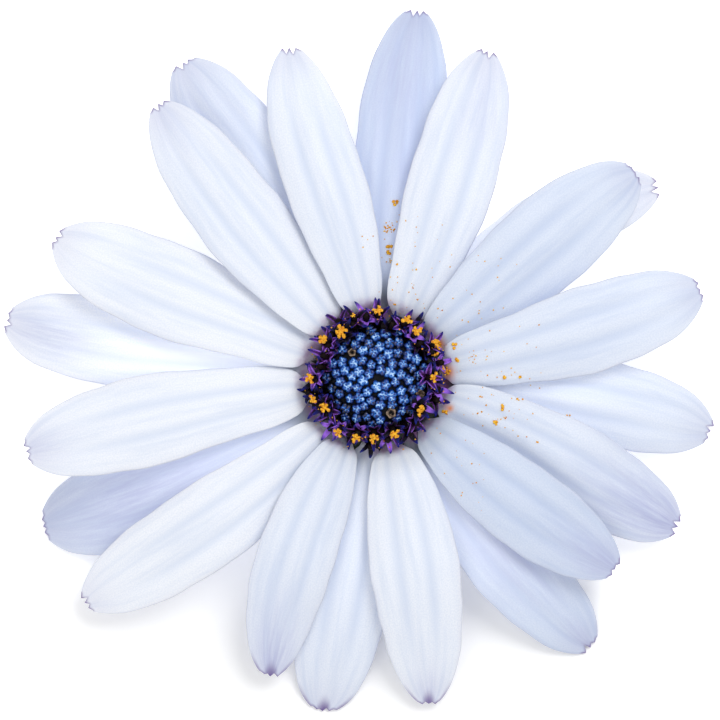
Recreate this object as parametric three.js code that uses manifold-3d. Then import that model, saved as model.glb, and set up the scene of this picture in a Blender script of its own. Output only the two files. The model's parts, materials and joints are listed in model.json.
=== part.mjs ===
// Osteospermum flower head, picked just under its bracts and lying face up.
//
// Millimetres, +Z up. The origin is the centre of the flat scar under the head, on which it rests,
// and +Z is the axis of the disc. Azimuths are degrees anticlockwise from +X, seen from above.
//
// The pieces, from the bottom up:
//   involucre       the green cup of bracts round the receptacle, with the scar where the stalk was
//   ray_floret_NN   the white strap-shaped florets round the rim, each with a claw and a toothed tip
//   open_florets    the ring of violet florets that have opened, with their anther columns
//   closed_florets  the dome of blue five-lobed buds that haven't

import * as THREE from "three";
import { mergeVertices } from "three/addons/utils/BufferGeometryUtils.js";
import Module from "manifold-3d";

const wasm = await Module();
wasm.setup();

// ---------------------------------------------------------------- driving dimensions

const SEAT_GAP = 0.3; // between a piece and what it sits on

const SCAR_RADIUS = 2.2;
const RECEPTACLE_RADIUS = 6.8;
const RECEPTACLE_TOP = 5.0;

const BLADE_THICKNESS = 0.6;
const CLAW_RADIUS = 6.1; // where each claw starts, from the disc's axis
const CLAW_TOP = RECEPTACLE_TOP + SEAT_GAP + BLADE_THICKNESS;
const RAY_CAMBER = 0.75; // how far a ray's edges hang below its middle, at its widest
const RAY_GROOVE = 0.16; // depth of the two lengthwise grooves

const DISC_SHIFT = 0.3; // the disc has grown this far off the receptacle's axis, along +Y
const DISC_CORE_RADIUS = 4.6;
const BUD_FIELD_RADIUS = 4.8; // to the centres of the outermost buds
const BUD_RADIUS = 0.57;
const BUD_HEIGHT = 0.6; // above the dome
const BUD_COUNT = 74;
const DOME_EDGE = 7.75; // the dome's height at its edge, and at its middle
const DOME_CROWN = 8.5;

const RING_INNER = 4.95; // the ledge that the open florets stand on
const RING_OUTER = 5.5;
const RING_TOP = 6.75;

const BRACT_COUNT = 16; // in two rows
const BRACT_WIDTH = 3.3;

// Each ray, in the order of its fields:
//   claw, tip   where its claw leaves the rim and where its tip lies, as azimuths
//   reach       from the disc's axis to the tip
//   heading     the way its midline points at the tip
//   width       at the widest
//   belly       how far along it is widest, as a share of its length
//   neck, crown, end   the heights of its upper face just outside the disc, near its middle and at its
//               tip; a ray whose end is RESTS comes down until its tip touches the surface
//   roll        its turn about its length, in degrees at its base, positive where its left side, seen
//               from the disc, is lifted
const RESTS = 0;
const RAYS = [
  [83.5, 83.5, 37.1, 81, 8.9, 0.55, 6.1, 6.4, RESTS, 0],
  [66, 71.2, 34.7, 75, 8.7, 0.53, 7.35, 8.4, 5.0, 10],
  [49, 34.3, 34.4, 12, 7.4, 0.6, 6.05, 6.3, 3.0, 0],
  [36, 38.6, 33.2, 34, 9.5, 0.53, 7.45, 8.4, 6.0, 15],
  [12, 15.8, 33.9, 23, 8.8, 0.57, 7.65, 8.7, 6.0, 14],
  [-2, -8.6, 34.0, -18, 8.6, 0.58, 6.1, 6.2, RESTS, 0],
  [-17, -25.8, 33.8, -26, 8.8, 0.57, 7.35, 7.6, 2.2, 12],
  [-42, -38.0, 30.7, -32, 8.5, 0.52, 7.6, 8.6, 4.6, 13],
  [-57, -51.0, 34.5, -46, 8.4, 0.58, 6.1, 6.1, RESTS, 0],
  [-76, -80.5, 32.6, -86, 8.9, 0.46, 7.4, 7.9, 2.0, 0],
  [-96, -99.0, 33.2, -100, 8.8, 0.6, 6.1, 6.0, RESTS, 0],
  [-117, -109.5, 31.2, -95, 7.9, 0.48, 7.6, 8.2, 3.5, -13],
  [-135, -142.6, 36.5, -149, 8.8, 0.54, 7.25, 8.0, 2.6, -14],
  [-151, -156.4, 36.1, -167, 9.8, 0.64, 6.1, 6.2, RESTS, 0],
  [-172, -168.5, 35.6, -164, 9.1, 0.58, 7.3, 8.6, 6.4, 0],
  [170, 170.6, 37.4, 165, 8.8, 0.64, 6.1, 6.8, 4.6, 0],
  [154, 155.7, 35.0, 150, 9.5, 0.57, 7.2, 8.6, 6.8, 13],
  [130, 128.1, 35.2, 123, 8.8, 0.5, 7.7, 8.8, 6.0, 13],
  [114, 121.2, 37.4, 123, 9.2, 0.6, 6.1, 6.3, 4.0, 0],
  [100, 104.4, 34.3, 98, 8.2, 0.52, 7.65, 8.5, 5.4, 10],
].map(([claw, tip, reach, heading, width, belly, neck, crown, end, roll]) => {
  return { claw, tip, reach, heading, width, belly, neck, crown, end, roll };
});

// ---------------------------------------------------------------- small tools

const radians = THREE.MathUtils.degToRad;
const polar = (radius, azimuth) =>
  new THREE.Vector2(Math.cos(azimuth), Math.sin(azimuth)).multiplyScalar(radius);

// A smooth curve through [x, y] pairs that never overshoots them, as a function of x.
function through(pairs) {
  const slope = pairs.slice(1).map(([x, y], i) => (y - pairs[i][1]) / (x - pairs[i][0]));
  const tangent = pairs.map((_, i) => {
    const before = slope[Math.max(i - 1, 0)];
    const after = slope[Math.min(i, slope.length - 1)];
    return before * after <= 0 ? 0 : (2 * before * after) / (before + after);
  });
  return (x) => {
    let i = 0;
    while (i < slope.length - 1 && x > pairs[i + 1][0]) i++;
    const [[x0, y0], [x1, y1]] = [pairs[i], pairs[i + 1]];
    const t = THREE.MathUtils.clamp((x - x0) / (x1 - x0), 0, 1);
    const run = (x1 - x0) * t * (1 - t);
    return y0 + (y1 - y0) * t * t * (3 - 2 * t) + run * (tangent[i] * (1 - t) - tangent[i + 1] * t);
  };
}

// Repeatable random numbers from 0 to 1.
function seeded(seed) {
  let state = seed;
  return () => {
    state = (Math.imul(state, 1664525) + 1013904223) >>> 0;
    return state / 2 ** 32;
  };
}

function solidOf(geometry) {
  const bare = geometry.clone();
  bare.deleteAttribute("normal");
  bare.deleteAttribute("uv");
  const merged = mergeVertices(bare, 1e-4);
  return new wasm.Manifold(
    new wasm.Mesh({
      numProp: 3,
      vertProperties: new Float32Array(merged.attributes.position.array),
      triVerts: new Uint32Array(merged.index.array),
    }),
  );
}

function geometryOf(solid) {
  const { vertProperties, triVerts } = solid.getMesh();
  return new THREE.BufferGeometry()
    .setAttribute("position", new THREE.BufferAttribute(vertProperties, 3))
    .setIndex(new THREE.BufferAttribute(triVerts, 1));
}

const union = (solids) => wasm.Manifold.union(solids);

// A profile of [radius, height] points turned about Z.
const turnedGeometry = (profile, sides) =>
  new THREE.LatheGeometry(
    profile.map(([radius, height]) => new THREE.Vector2(radius, height)),
    sides,
  ).rotateX(Math.PI / 2);

// A closed blade from a grid of points on its upper face, rows[i][j], and the same grid on its lower
// face. Both faces are split into triangles alike, so that a waved blade's faces never cross.
function bladeGeometry(upper, lower) {
  const [rows, columns] = [upper.length, upper[0].length];
  const points = [...upper.flat(), ...lower.flat()];
  const at = (face, i, j) => face * rows * columns + i * columns + j;
  const faces = [];
  const quad = (a, b, c, d) => faces.push(a, b, c, a, c, d);
  for (let i = 0; i < rows - 1; i++)
    for (let j = 0; j < columns - 1; j++) {
      const ring = [[i, j], [i + 1, j], [i + 1, j + 1], [i, j + 1]];
      const [a, b, c, d] = ring.map(([p, q]) => at(0, p, q));
      const [e, f, g, h] = ring.map(([p, q]) => at(1, p, q));
      quad(a, b, c, d);
      faces.push(e, g, f, e, h, g);
    }
  for (let i = 0; i < rows - 1; i++) {
    quad(at(0, i, 0), at(1, i, 0), at(1, i + 1, 0), at(0, i + 1, 0));
    quad(at(0, i + 1, columns - 1), at(1, i + 1, columns - 1), at(1, i, columns - 1), at(0, i, columns - 1));
  }
  for (let j = 0; j < columns - 1; j++) {
    quad(at(0, 0, j + 1), at(1, 0, j + 1), at(1, 0, j), at(0, 0, j));
    quad(at(0, rows - 1, j), at(1, rows - 1, j), at(1, rows - 1, j + 1), at(0, rows - 1, j + 1));
  }
  return new THREE.BufferGeometry()
    .setAttribute("position", new THREE.Float32BufferAttribute(points.flatMap((p) => p.toArray()), 3))
    .setIndex(faces);
}

// ---------------------------------------------------------------- ray florets

// Share of the full width along a ray whose belly is at BELLY: a narrow claw, a quick flare past the
// disc, a long oval, and a blunt end that the teeth finish.
const BELLY = 0.52;
const OUTLINE = through([
  [0, 0.14], [0.022, 0.15], [0.06, 0.44], [0.18, 0.71], [0.35, 0.91], [BELLY, 1],
  [0.67, 0.97], [0.8, 0.86], [0.88, 0.73], [0.93, 0.6], [0.97, 0.44], [1, 0.22],
]);
const RAY_ROWS = [0, 0.022, 0.06, 0.15, 0.28, 0.43, 0.58, 0.72, 0.84, 0.92, 0.965, 1];
const RAY_COLUMNS = [-1, -2 / 3, -1 / 3, 0, 1 / 3, 2 / 3, 1];
const TEETH = [-0.18, -0.05, -0.4, -0.1, -0.45, 0, -0.18]; // from the tip to each column's end
const NECK = 0.06; // how far along the ray its neck is, its crown, and where its curl starts
const CROWN = 0.45;
const CLAW_FLARE = [0.06, 0.35]; // between these shares of the length the flare gives way to the belly

class RayFloret {
  constructor(size) {
    Object.assign(this, size);
    const start = polar(CLAW_RADIUS, radians(this.claw));
    const finish = polar(this.reach, radians(this.tip));
    const third = start.distanceTo(finish) / 3;
    this.midline = new THREE.CubicBezierCurve(
      start,
      start.clone().add(polar(third, radians(this.claw))),
      finish.clone().sub(polar(third, radians(this.heading))),
      finish,
    );
    this.bellyPower = Math.log(BELLY) / Math.log(this.belly);
    const rests = this.end === RESTS;
    this.setEnd(this.end);
    if (rests) this.comeDown();
  }

  setEnd(height) {
    this.end = height;
    this.height = through([
      [0, CLAW_TOP],
      [NECK, this.neck],
      [CROWN, this.crown],
      [1, height],
    ]);
  }

  // Lowers the tip until the blade's lowest corner touches the surface.
  comeDown() {
    for (let step = 0; step < 6; step++) {
      const lowest = Math.min(...this.grids()[1].flat().map((p) => p.z));
      this.setEnd(this.end - lowest);
    }
  }

  // Where share s of the length lies in OUTLINE: as it is at the claw, drawn out to put the belly right.
  outlinePlace(s) {
    const drawnOut = THREE.MathUtils.smoothstep(s, ...CLAW_FLARE);
    return THREE.MathUtils.lerp(s, s ** this.bellyPower, drawnOut);
  }

  // The point of the upper face at share s of the length and u, from -1 on the right to 1 on the left.
  point(s, u) {
    const middle = this.midline.getPointAt(s);
    const along = this.midline.getTangentAt(s);
    const half = (this.width / 2) * OUTLINE(this.outlinePlace(s));
    const fullness = (2 * half) / this.width;
    const roll = radians(this.roll) * (1 - 0.7 * s) * Math.min(1, s / NECK);
    const hollow = RAY_CAMBER * u * u + RAY_GROOVE * Math.exp(-(((Math.abs(u) - 1 / 3) / 0.16) ** 2));
    return new THREE.Vector3(
      middle.x - along.y * u * half * Math.cos(roll),
      middle.y + along.x * u * half * Math.cos(roll),
      this.height(s) + u * half * Math.sin(roll) - hollow * fullness * fullness,
    );
  }

  // The upper face's outward direction.
  normal(s, u) {
    const step = 0.01;
    const [s0, s1] = [Math.max(s - step, 0), Math.min(s + step, 1)];
    const [u0, u1] = [Math.max(u - step, -1), Math.min(u + step, 1)];
    const alongLength = this.point(s1, u).sub(this.point(s0, u));
    const across = this.point(s, u1).sub(this.point(s, u0));
    return alongLength.cross(across).normalize();
  }

  // The grids of points on the upper and the lower face.
  grids() {
    const last = RAY_ROWS.length - 1;
    const upper = RAY_ROWS.map((s, i) =>
      RAY_COLUMNS.map((u, j) => {
        const point = this.point(s, u);
        if (i < last) return point;
        const along = this.midline.getTangentAt(1).multiplyScalar(TEETH[j]);
        return point.add(new THREE.Vector3(along.x, along.y, 0));
      }),
    );
    const lower = RAY_ROWS.map((s, i) =>
      RAY_COLUMNS.map((u, j) =>
        upper[i][j].clone().addScaledVector(this.normal(s, u), -BLADE_THICKNESS),
      ),
    );
    return [upper, lower];
  }

  geometry() {
    return bladeGeometry(...this.grids());
  }
}

// ---------------------------------------------------------------- florets of the disc

// A shape turned about Z in five lobes: profile points are [radius, height, notch], where notch is the
// share of the radius that is left between two lobes. With five sides there are corners alone.
function lobedGeometry(profile, sides) {
  const turned = turnedGeometry(profile, sides);
  const position = turned.attributes.position;
  for (let i = 0; i < position.count; i++) {
    const between = sides === 10 && Math.floor(i / profile.length) % 2 === 1;
    const [, , notch = 1] = profile[i % profile.length];
    if (between) position.setXY(i, position.getX(i) * notch, position.getY(i) * notch);
  }
  return turned;
}

// A floret's place: out from the disc's axis at an azimuth, at a height, leaning outwards, and turned
// about its own axis.
function placed(geometry, { radius, azimuth, height, lean, turn }) {
  return geometry
    .clone()
    .rotateZ(turn)
    .rotateY(lean)
    .translate(radius, 0, height)
    .rotateZ(azimuth);
}

const dome = (radius) => DOME_CROWN - (DOME_CROWN - DOME_EDGE) * (radius / BUD_FIELD_RADIUS) ** 2;

const BUD_ROOT = -0.5;
const BUD_PROFILE = [
  [0, BUD_ROOT],
  [BUD_RADIUS * 0.9, BUD_ROOT],
  [BUD_RADIUS, BUD_HEIGHT * 0.5],
  [BUD_RADIUS * 0.6, BUD_HEIGHT],
  [0, BUD_HEIGHT * 0.7],
];
const GOLDEN_ANGLE = Math.PI * (3 - Math.sqrt(5));

// The buds in the spiral that a daisy's disc grows in, on a dome that they hide.
function closedFlorets() {
  const random = seeded(11);
  const bud = lobedGeometry(BUD_PROFILE, 5);
  const base = RECEPTACLE_TOP + SEAT_GAP;
  const profile = [[0, base], [DISC_CORE_RADIUS, base]];
  for (const share of [1, 0.75, 0.5, 0.25, 0])
    profile.push([DISC_CORE_RADIUS * share, dome(DISC_CORE_RADIUS * share) - 0.05]);
  const core = turnedGeometry(profile, 16);
  const buds = Array.from({ length: BUD_COUNT }, (_, i) => {
    const radius = BUD_FIELD_RADIUS * Math.sqrt((i + 0.5) / (BUD_COUNT - 0.5));
    return placed(bud, {
      radius,
      azimuth: i * GOLDEN_ANGLE,
      height: dome(radius),
      lean: 0.3 * (radius / BUD_FIELD_RADIUS) ** 2,
      turn: random() * Math.PI * 2,
    });
  });
  return geometryOf(union([core, ...buds].map(solidOf))).translate(0, DISC_SHIFT, 0);
}

// An open floret: a tube, five pointed lobes bent back, and the column of anthers. On a ripe one the
// column ends in a small star of pollen. Heights are from the mouth of the tube.
const TUBE_LENGTH = 2.5;
const LOBE_REACH = 1.05;
const openProfile = (ripe) => [
  [0, -TUBE_LENGTH],
  [0.36, -TUBE_LENGTH],
  [0.4, -0.3],
  [LOBE_REACH, 0, 0.42],
  [0.3, 0.25],
  ripe ? [0.55, 0.75, 0.5] : [0.2, 0.8],
  [0, 0.95],
];

// Where the mouths of the ripe florets lie: [azimuth, radius]. The others are spaced by a rule.
const RIPE = [
  [87, 6.7], [61, 6.6], [48, 6.2], [30, 7.0], [3, 6.4], [-35, 6.0], [-71, 6.0], [-91.5, 6.0], [-108, 6.2],
  [-124.5, 6.5], [-150, 6.0], [-161, 6.6], [180, 6.5], [143, 6.4], [126, 6.0], [109, 6.4],
];
const PLAIN_COUNT = 10;
const PLAIN_RADII = [6.15, 6.75];

// All of them fan out from the ledge, so the further out its mouth is, the more a floret leans.
function openFlorets() {
  const random = seeded(5);
  const [base, foot] = [RECEPTACLE_TOP + SEAT_GAP, RING_TOP - 0.25];
  const middle = (RING_INNER + RING_OUTER) / 2;
  const section = [[RING_INNER, base], [RING_OUTER, base], [RING_OUTER, RING_TOP], [RING_INNER, RING_TOP]];
  const ring = turnedGeometry([...section, section[0]], 20);
  const standing = (shape, azimuth, radius) => {
    const lean = Math.asin((radius - middle) / TUBE_LENGTH);
    const height = foot + TUBE_LENGTH * Math.cos(lean);
    return placed(shape, { radius, azimuth, height, lean, turn: random() * Math.PI * 2 });
  };
  const ripe = lobedGeometry(openProfile(true), 10);
  const plain = lobedGeometry(openProfile(false), 10);
  const florets = RIPE.map(([azimuth, radius]) => standing(ripe, radians(azimuth), radius));
  for (let i = 0; i < PLAIN_COUNT; i++) {
    const azimuth = ((i + 0.2 * random()) / PLAIN_COUNT) * Math.PI * 2;
    florets.push(standing(plain, azimuth, PLAIN_RADII[i % PLAIN_RADII.length]));
  }
  return geometryOf(union([ring, ...florets].map(solidOf))).translate(0, DISC_SHIFT, 0);
}

// ---------------------------------------------------------------- involucre

// The receptacle's outside, from the scar up to the rim, and the line that each bract follows up it
// and out under the rays.
const CUP = [
  [0, 0], [SCAR_RADIUS, 0], [2.4, 0.5], [3.3, 1.4], [4.7, 2.6], [6.0, 3.8],
  [RECEPTACLE_RADIUS, 4.6], [RECEPTACLE_RADIUS, RECEPTACLE_TOP], [0, RECEPTACLE_TOP],
];
const BRACT_ROWS = [
  { line: [[2.3, 0.75], [4.2, 1.9], [6.6, 3.7], [8.8, 4.35], [11.6, 3.95]], turn: 0 },
  { line: [[2.4, 0.9], [4.3, 2.4], [6.5, 4.15], [8.6, 4.8], [11.0, 4.5]], turn: 0.5 },
];
const BRACT_OUTLINE = through([[0, 0.5], [0.35, 1], [0.6, 0.85], [0.85, 0.42], [1, 0.08]]);
const BRACT_COLUMNS = [-1, 0, 1];

function bract(line, azimuth) {
  const grid = (drop) =>
    line.map(([radius, height], i) => {
      const s = i / (line.length - 1);
      const half = (BRACT_WIDTH / 2) * BRACT_OUTLINE(s);
      return BRACT_COLUMNS.map((u) => new THREE.Vector3(radius, u * half, height - drop + 0.25 * u * u * s));
    });
  return bladeGeometry(grid(0), grid(BLADE_THICKNESS + 0.1)).rotateZ(azimuth);
}

function involucre() {
  const cup = turnedGeometry(CUP, 24);
  const perRow = BRACT_COUNT / BRACT_ROWS.length;
  const bracts = BRACT_ROWS.flatMap(({ line, turn }) =>
    Array.from({ length: perRow }, (_, i) => bract(line, ((i + turn) / perRow) * Math.PI * 2)),
  );
  return geometryOf(union([cup, ...bracts].map(solidOf)));
}

// ---------------------------------------------------------------- the flower head

const material = (color, roughness) => new THREE.MeshStandardMaterial({ color, roughness, metalness: 0 });
const whiteRay = material("#e6edf9", 0.5);
const blueFloret = material("#3f74c8", 0.35);
const violetFloret = material("#5a3fa0", 0.45);
const greenBract = material("#6f8f4a", 0.6);

const flowerHead = new THREE.Group();
const add = (name, geometry, finish) => {
  const mesh = new THREE.Mesh(geometry, finish);
  mesh.name = name;
  flowerHead.add(mesh);
};

add("involucre", involucre(), greenBract);
RAYS.forEach((size, i) =>
  add(`ray_floret_${String(i + 1).padStart(2, "0")}`, new RayFloret(size).geometry(), whiteRay),
);
add("open_florets", openFlorets(), violetFloret);
add("closed_florets", closedFlorets(), blueFloret);

export default flowerHead;
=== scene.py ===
"""Osteospermum flower head, lying face up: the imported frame's pieces, remade finer and dressed.

Sizes are millimetres until a mesh is made, which is in metres. The origin is the centre of the scar
that the head rests on, +Z is the axis of the head, and azimuths are degrees anticlockwise from +X, seen
from above. The disc has grown a little off the axis, along +Y.
"""

import json
import logging
import math
from collections.abc import Callable
from dataclasses import dataclass, field
from enum import Enum
from functools import partial

import bpy
import numpy as np
from bpy.types import Material, Mesh, NodeSocket, NodeTree, Object
from mathutils import Euler, Matrix, Vector
from mathutils.bvhtree import BVHTree
from numpy.random import Generator, default_rng

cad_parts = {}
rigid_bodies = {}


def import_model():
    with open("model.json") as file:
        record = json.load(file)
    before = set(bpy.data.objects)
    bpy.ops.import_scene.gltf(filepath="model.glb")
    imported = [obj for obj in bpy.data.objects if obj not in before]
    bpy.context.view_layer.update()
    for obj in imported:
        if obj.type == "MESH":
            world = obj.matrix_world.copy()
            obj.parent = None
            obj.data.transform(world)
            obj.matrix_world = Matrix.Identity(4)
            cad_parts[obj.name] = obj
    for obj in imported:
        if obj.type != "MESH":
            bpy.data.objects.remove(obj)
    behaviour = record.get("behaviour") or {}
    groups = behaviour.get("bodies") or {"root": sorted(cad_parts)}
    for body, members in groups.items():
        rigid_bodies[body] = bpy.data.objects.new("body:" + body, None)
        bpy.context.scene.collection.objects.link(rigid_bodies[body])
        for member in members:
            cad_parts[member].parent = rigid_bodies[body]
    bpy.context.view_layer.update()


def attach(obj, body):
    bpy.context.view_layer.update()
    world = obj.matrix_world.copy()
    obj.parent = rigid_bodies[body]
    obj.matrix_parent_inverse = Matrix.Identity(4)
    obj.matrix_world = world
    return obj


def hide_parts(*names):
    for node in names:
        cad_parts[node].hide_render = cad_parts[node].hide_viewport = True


LOG = logging.getLogger("osteospermum")
Array = np.ndarray
AddNode = Callable[..., NodeSocket]  # add_node for one tree

MM = 0.001  # metres in a millimetre
BODY = "root"
DISC_SHIFT = 0.3  # from the head's axis to the disc's, along +Y
GOLDEN_ANGLE = math.pi * (3 - math.sqrt(5))
VARIANT_COUNT = 8  # of each kind of open floret, anther column and pollen head


class Slot(Enum):
    """The record's material slots, named for the pieces' finishes."""

    WHITE_RAY = "white_ray"
    GREEN_BRACT = "green_bract"
    VIOLET_FLORET = "violet_floret"
    BLUE_FLORET = "blue_floret"
    DARK_ANTHER = "dark_anther"
    POLLEN = "pollen"


# ---------------- small tools


def linear(hex_colour: str) -> tuple[float, float, float, float]:
    """Turn an sRGB colour into the linear one that a shader takes.

    Args:
        hex_colour: The colour as "#RRGGBB".

    Returns:
        Linear red, green and blue, and an alpha of 1.
    """
    parts = [int(hex_colour[i : i + 2], 16) / 255 for i in (1, 3, 5)]
    red, green, blue = (p / 12.92 if p <= 0.04045 else ((p + 0.055) / 1.055) ** 2.4 for p in parts)
    return (red, green, blue, 1.0)


def add_node(
    tree: NodeTree, kind: str, inputs: dict[str | int, object] | None = None, out: str | int = 0,
    **settings: object
) -> NodeSocket | None:
    """Add a node to a tree, set it and link it.

    Args:
        tree: The shader or geometry tree.
        kind: The node's type name.
        inputs: What each input gets, by its name or place: an output to link, or a value.
        out: Which output is wanted, by its name or place.
        **settings: The node's own properties.

    Returns:
        That output, or None where the node has none.
    """
    node = tree.nodes.new(kind)
    for name, value in settings.items():
        setattr(node, name, value)
    for key, value in (inputs or {}).items():
        if isinstance(value, NodeSocket):
            tree.links.new(value, node.inputs[key])
        else:
            node.inputs[key].default_value = value
    return node.outputs[out] if node.outputs else None


def through(pairs: list[tuple[float, float]], x: Array) -> Array:
    """Follow a smooth curve that goes through points and never overshoots them.

    Args:
        pairs: The points, as (x, y) with x rising.
        x: Where the curve is wanted.

    Returns:
        The curve's y at each x.
    """
    knots, heights = np.array(pairs, dtype=float).T
    slope = np.diff(heights) / np.diff(knots)
    before, after = np.r_[slope[0], slope], np.r_[slope, slope[-1]]
    total = np.where(before * after > 0, before + after, 1.0)
    tangent = np.where(before * after > 0, 2 * before * after / total, 0.0)
    i = np.clip(np.searchsorted(knots, x, side="right") - 1, 0, len(slope) - 1)
    span = knots[i + 1] - knots[i]
    t = np.clip((x - knots[i]) / span, 0, 1)
    bend = span * t * (1 - t) * (tangent[i] * (1 - t) - tangent[i + 1] * t)
    return heights[i] + (heights[i + 1] - heights[i]) * t * t * (3 - 2 * t) + bend


def smoothstep(low: float, high: float, x: Array) -> Array:
    """Rise smoothly from 0 at low to 1 at high, or fall where low is the greater."""
    t = np.clip((x - low) / (high - low), 0, 1)
    return t * t * (3 - 2 * t)


def bell(x: Array, width: float) -> Array:
    """Fall from 1 where x is 0 to next to nothing at twice the width."""
    return np.exp(-((x / width) ** 2))


def polar(radius: float, azimuth: float) -> Array:
    """Give the plan place of a radius and an azimuth in degrees."""
    turn = math.radians(azimuth)
    return np.array([radius * math.cos(turn), radius * math.sin(turn)])


@dataclass
class Shape:
    """A closed shape in millimetres, before it is a mesh.

    Attributes:
        points: The points, one row each.
        faces: Each face's corners, anticlockwise seen from outside.
        values: Named numbers, one for each point, that finishes read as attributes.
        chart: Each point's place on the surface's own map, or None.
    """

    points: Array
    faces: list[tuple[int, ...]]
    values: dict[str, Array] = field(default_factory=dict)
    chart: Array | None = None

    @staticmethod
    def joined(shapes: list["Shape"]) -> "Shape":
        """Put several shapes together as one.

        Args:
            shapes: The shapes. A value that one of them lacks is 0 there.

        Returns:
            The joined shape, with no chart.
        """
        faces: list[tuple[int, ...]] = []
        start = 0
        for shape in shapes:
            faces += [tuple(corner + start for corner in face) for face in shape.faces]
            start += len(shape.points)
        names = {name for shape in shapes for name in shape.values}
        values = {
            name: np.concatenate([s.values.get(name, np.zeros(len(s.points))) for s in shapes])
            for name in sorted(names)
        }
        return Shape(np.concatenate([s.points for s in shapes]), faces, values)

    def moved(self, matrix: Matrix) -> "Shape":
        """Give the shape moved and turned by a matrix in millimetres.

        Args:
            matrix: The matrix.

        Returns:
            The moved shape, with the same faces, values and chart.
        """
        turn = np.array(matrix.to_3x3())
        place = np.array(matrix.translation)
        return Shape(self.points @ turn.T + place, self.faces, dict(self.values), self.chart)

    def azimuths(self) -> Array:
        """Give each point's azimuth about Z, in radians."""
        return np.arctan2(self.points[:, 1], self.points[:, 0])

    def flute(self, depth: float | Array, count: int) -> None:
        """Press flutes of a depth, as a share of each point's radius, all round the shape."""
        self.points[:, :2] *= (1 + depth * np.cos(count * self.azimuths()))[:, None]

    def to_object(self, name: str, finish: Material | None = None) -> Object:
        """Make the shape a smooth-shaded mesh object at the origin.

        Args:
            name: The object's name.
            finish: Its material, or None for a shape that is only repeated by a tree.

        Returns:
            The object, linked to the scene.
        """
        mesh = bpy.data.meshes.new(name)
        mesh.from_pydata((self.points * MM).tolist(), [], self.faces)
        for key, value in self.values.items():
            layer = mesh.attributes.new(key, "FLOAT", "POINT")
            layer.data.foreach_set("value", np.asarray(value, dtype=np.float32))
        if self.chart is not None:
            corners = np.zeros(len(mesh.loops), dtype=np.int32)
            mesh.loops.foreach_get("vertex_index", corners)
            layer = mesh.uv_layers.new(name="skin")
            layer.data.foreach_set("uv", self.chart[corners].astype(np.float32).ravel())
        mesh.shade_smooth()
        return place_in_scene(name, mesh, finish)


def place_in_scene(name: str, mesh: Mesh, finish: Material | None) -> Object:
    """Link a mesh to the scene as an object at the origin.

    Args:
        name: The object's name.
        mesh: Its mesh, in metres.
        finish: Its material, or None to leave the mesh's own.

    Returns:
        The object.
    """
    if finish is not None:
        mesh.materials.clear()
        mesh.materials.append(finish)
    piece = bpy.data.objects.new(name, mesh)
    bpy.context.scene.collection.objects.link(piece)
    return piece


def ring_stack(rings: Array, values: dict[str, Array] | None = None) -> Shape:
    """Close a stack of rings into a shape, with a point in the middle of each end.

    Args:
        rings: Points by ring and place on the ring, lowest ring first, anticlockwise from above.
        values: Named numbers, by ring and place.

    Returns:
        The closed shape.
    """
    count, sides = rings.shape[:2]
    spots = np.arange(count * sides).reshape(count, sides)
    right = np.roll(spots, -1, axis=1)
    wall = np.stack([spots[:-1], right[:-1], right[1:], spots[1:]], axis=-1).reshape(-1, 4)
    bottom, top = count * sides, count * sides + 1
    faces = [tuple(face) for face in wall.tolist()]
    faces += [(bottom, b, a) for a, b in zip(spots[0].tolist(), right[0].tolist())]
    faces += [(top, a, b) for a, b in zip(spots[-1].tolist(), right[-1].tolist())]
    points = np.concatenate([rings.reshape(-1, 3), [rings[0].mean(axis=0), rings[-1].mean(axis=0)]])
    kept = {
        name: np.concatenate([value.ravel(), [value[0].mean(), value[-1].mean()]])
        for name, value in (values or {}).items()
    }
    return Shape(points, faces, kept)


def turned(profile: Array, sides: int, values: dict[str, Array] | None = None) -> Shape:
    """Turn a profile about Z into a closed shape.

    Args:
        profile: Rows of radius and height, lowest first, none of them on the axis.
        sides: How many points go round.
        values: Named numbers, one for each row.

    Returns:
        The closed shape.
    """
    turn = np.arange(sides) / sides * 2 * math.pi
    flat = np.stack([np.cos(turn), np.sin(turn)], axis=-1)
    rings = np.concatenate(
        [profile[:, None, :1] * flat[None], np.broadcast_to(profile[:, None, 1:], (len(profile), sides, 1))],
        axis=-1,
    )
    spread = {name: np.repeat(value[:, None], sides, axis=1) for name, value in (values or {}).items()}
    return ring_stack(rings, spread)


def blade(
    upper: Array, lower: Array, values: dict[str, Array] | None = None, chart: Array | None = None
) -> Shape:
    """Close an upper and a lower face into a thin shape.

    Args:
        upper: The upper face's points, by row along it and by column from its right to its left.
        lower: The lower face's points, in the same order.
        values: Named numbers, by face, row and column, or by row and column for both faces.
        chart: Both faces' places on the surface's map, by row and column.

    Returns:
        The closed shape.
    """
    rows, columns = upper.shape[:2]
    spots = np.arange(2 * rows * columns).reshape(2, rows, columns)
    over, under = spots
    quads = [
        (over[:-1, :-1], over[1:, :-1], over[1:, 1:], over[:-1, 1:]),
        (under[:-1, :-1], under[:-1, 1:], under[1:, 1:], under[1:, :-1]),
        (over[:-1, 0], under[:-1, 0], under[1:, 0], over[1:, 0]),
        (over[1:, -1], under[1:, -1], under[:-1, -1], over[:-1, -1]),
        (over[0, 1:], under[0, 1:], under[0, :-1], over[0, :-1]),
        (over[-1, :-1], under[-1, :-1], under[-1, 1:], over[-1, 1:]),
    ]
    faces = [tuple(face) for quad in quads for face in np.stack(quad, axis=-1).reshape(-1, 4).tolist()]
    points = np.concatenate([upper.reshape(-1, 3), lower.reshape(-1, 3)])
    kept = {
        name: np.broadcast_to(value, (2, rows, columns)).ravel()
        for name, value in (values or {}).items()
    }
    both = None if chart is None else np.tile(chart.reshape(-1, 2), (2, 1))
    return Shape(points, faces, kept, both)


def face_normals(grid: Array) -> Array:
    """Give the outward direction at each point of an upper face's grid."""
    normal = np.cross(np.gradient(grid, axis=0), np.gradient(grid, axis=1))
    return normal / np.linalg.norm(normal, axis=-1, keepdims=True)


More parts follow.
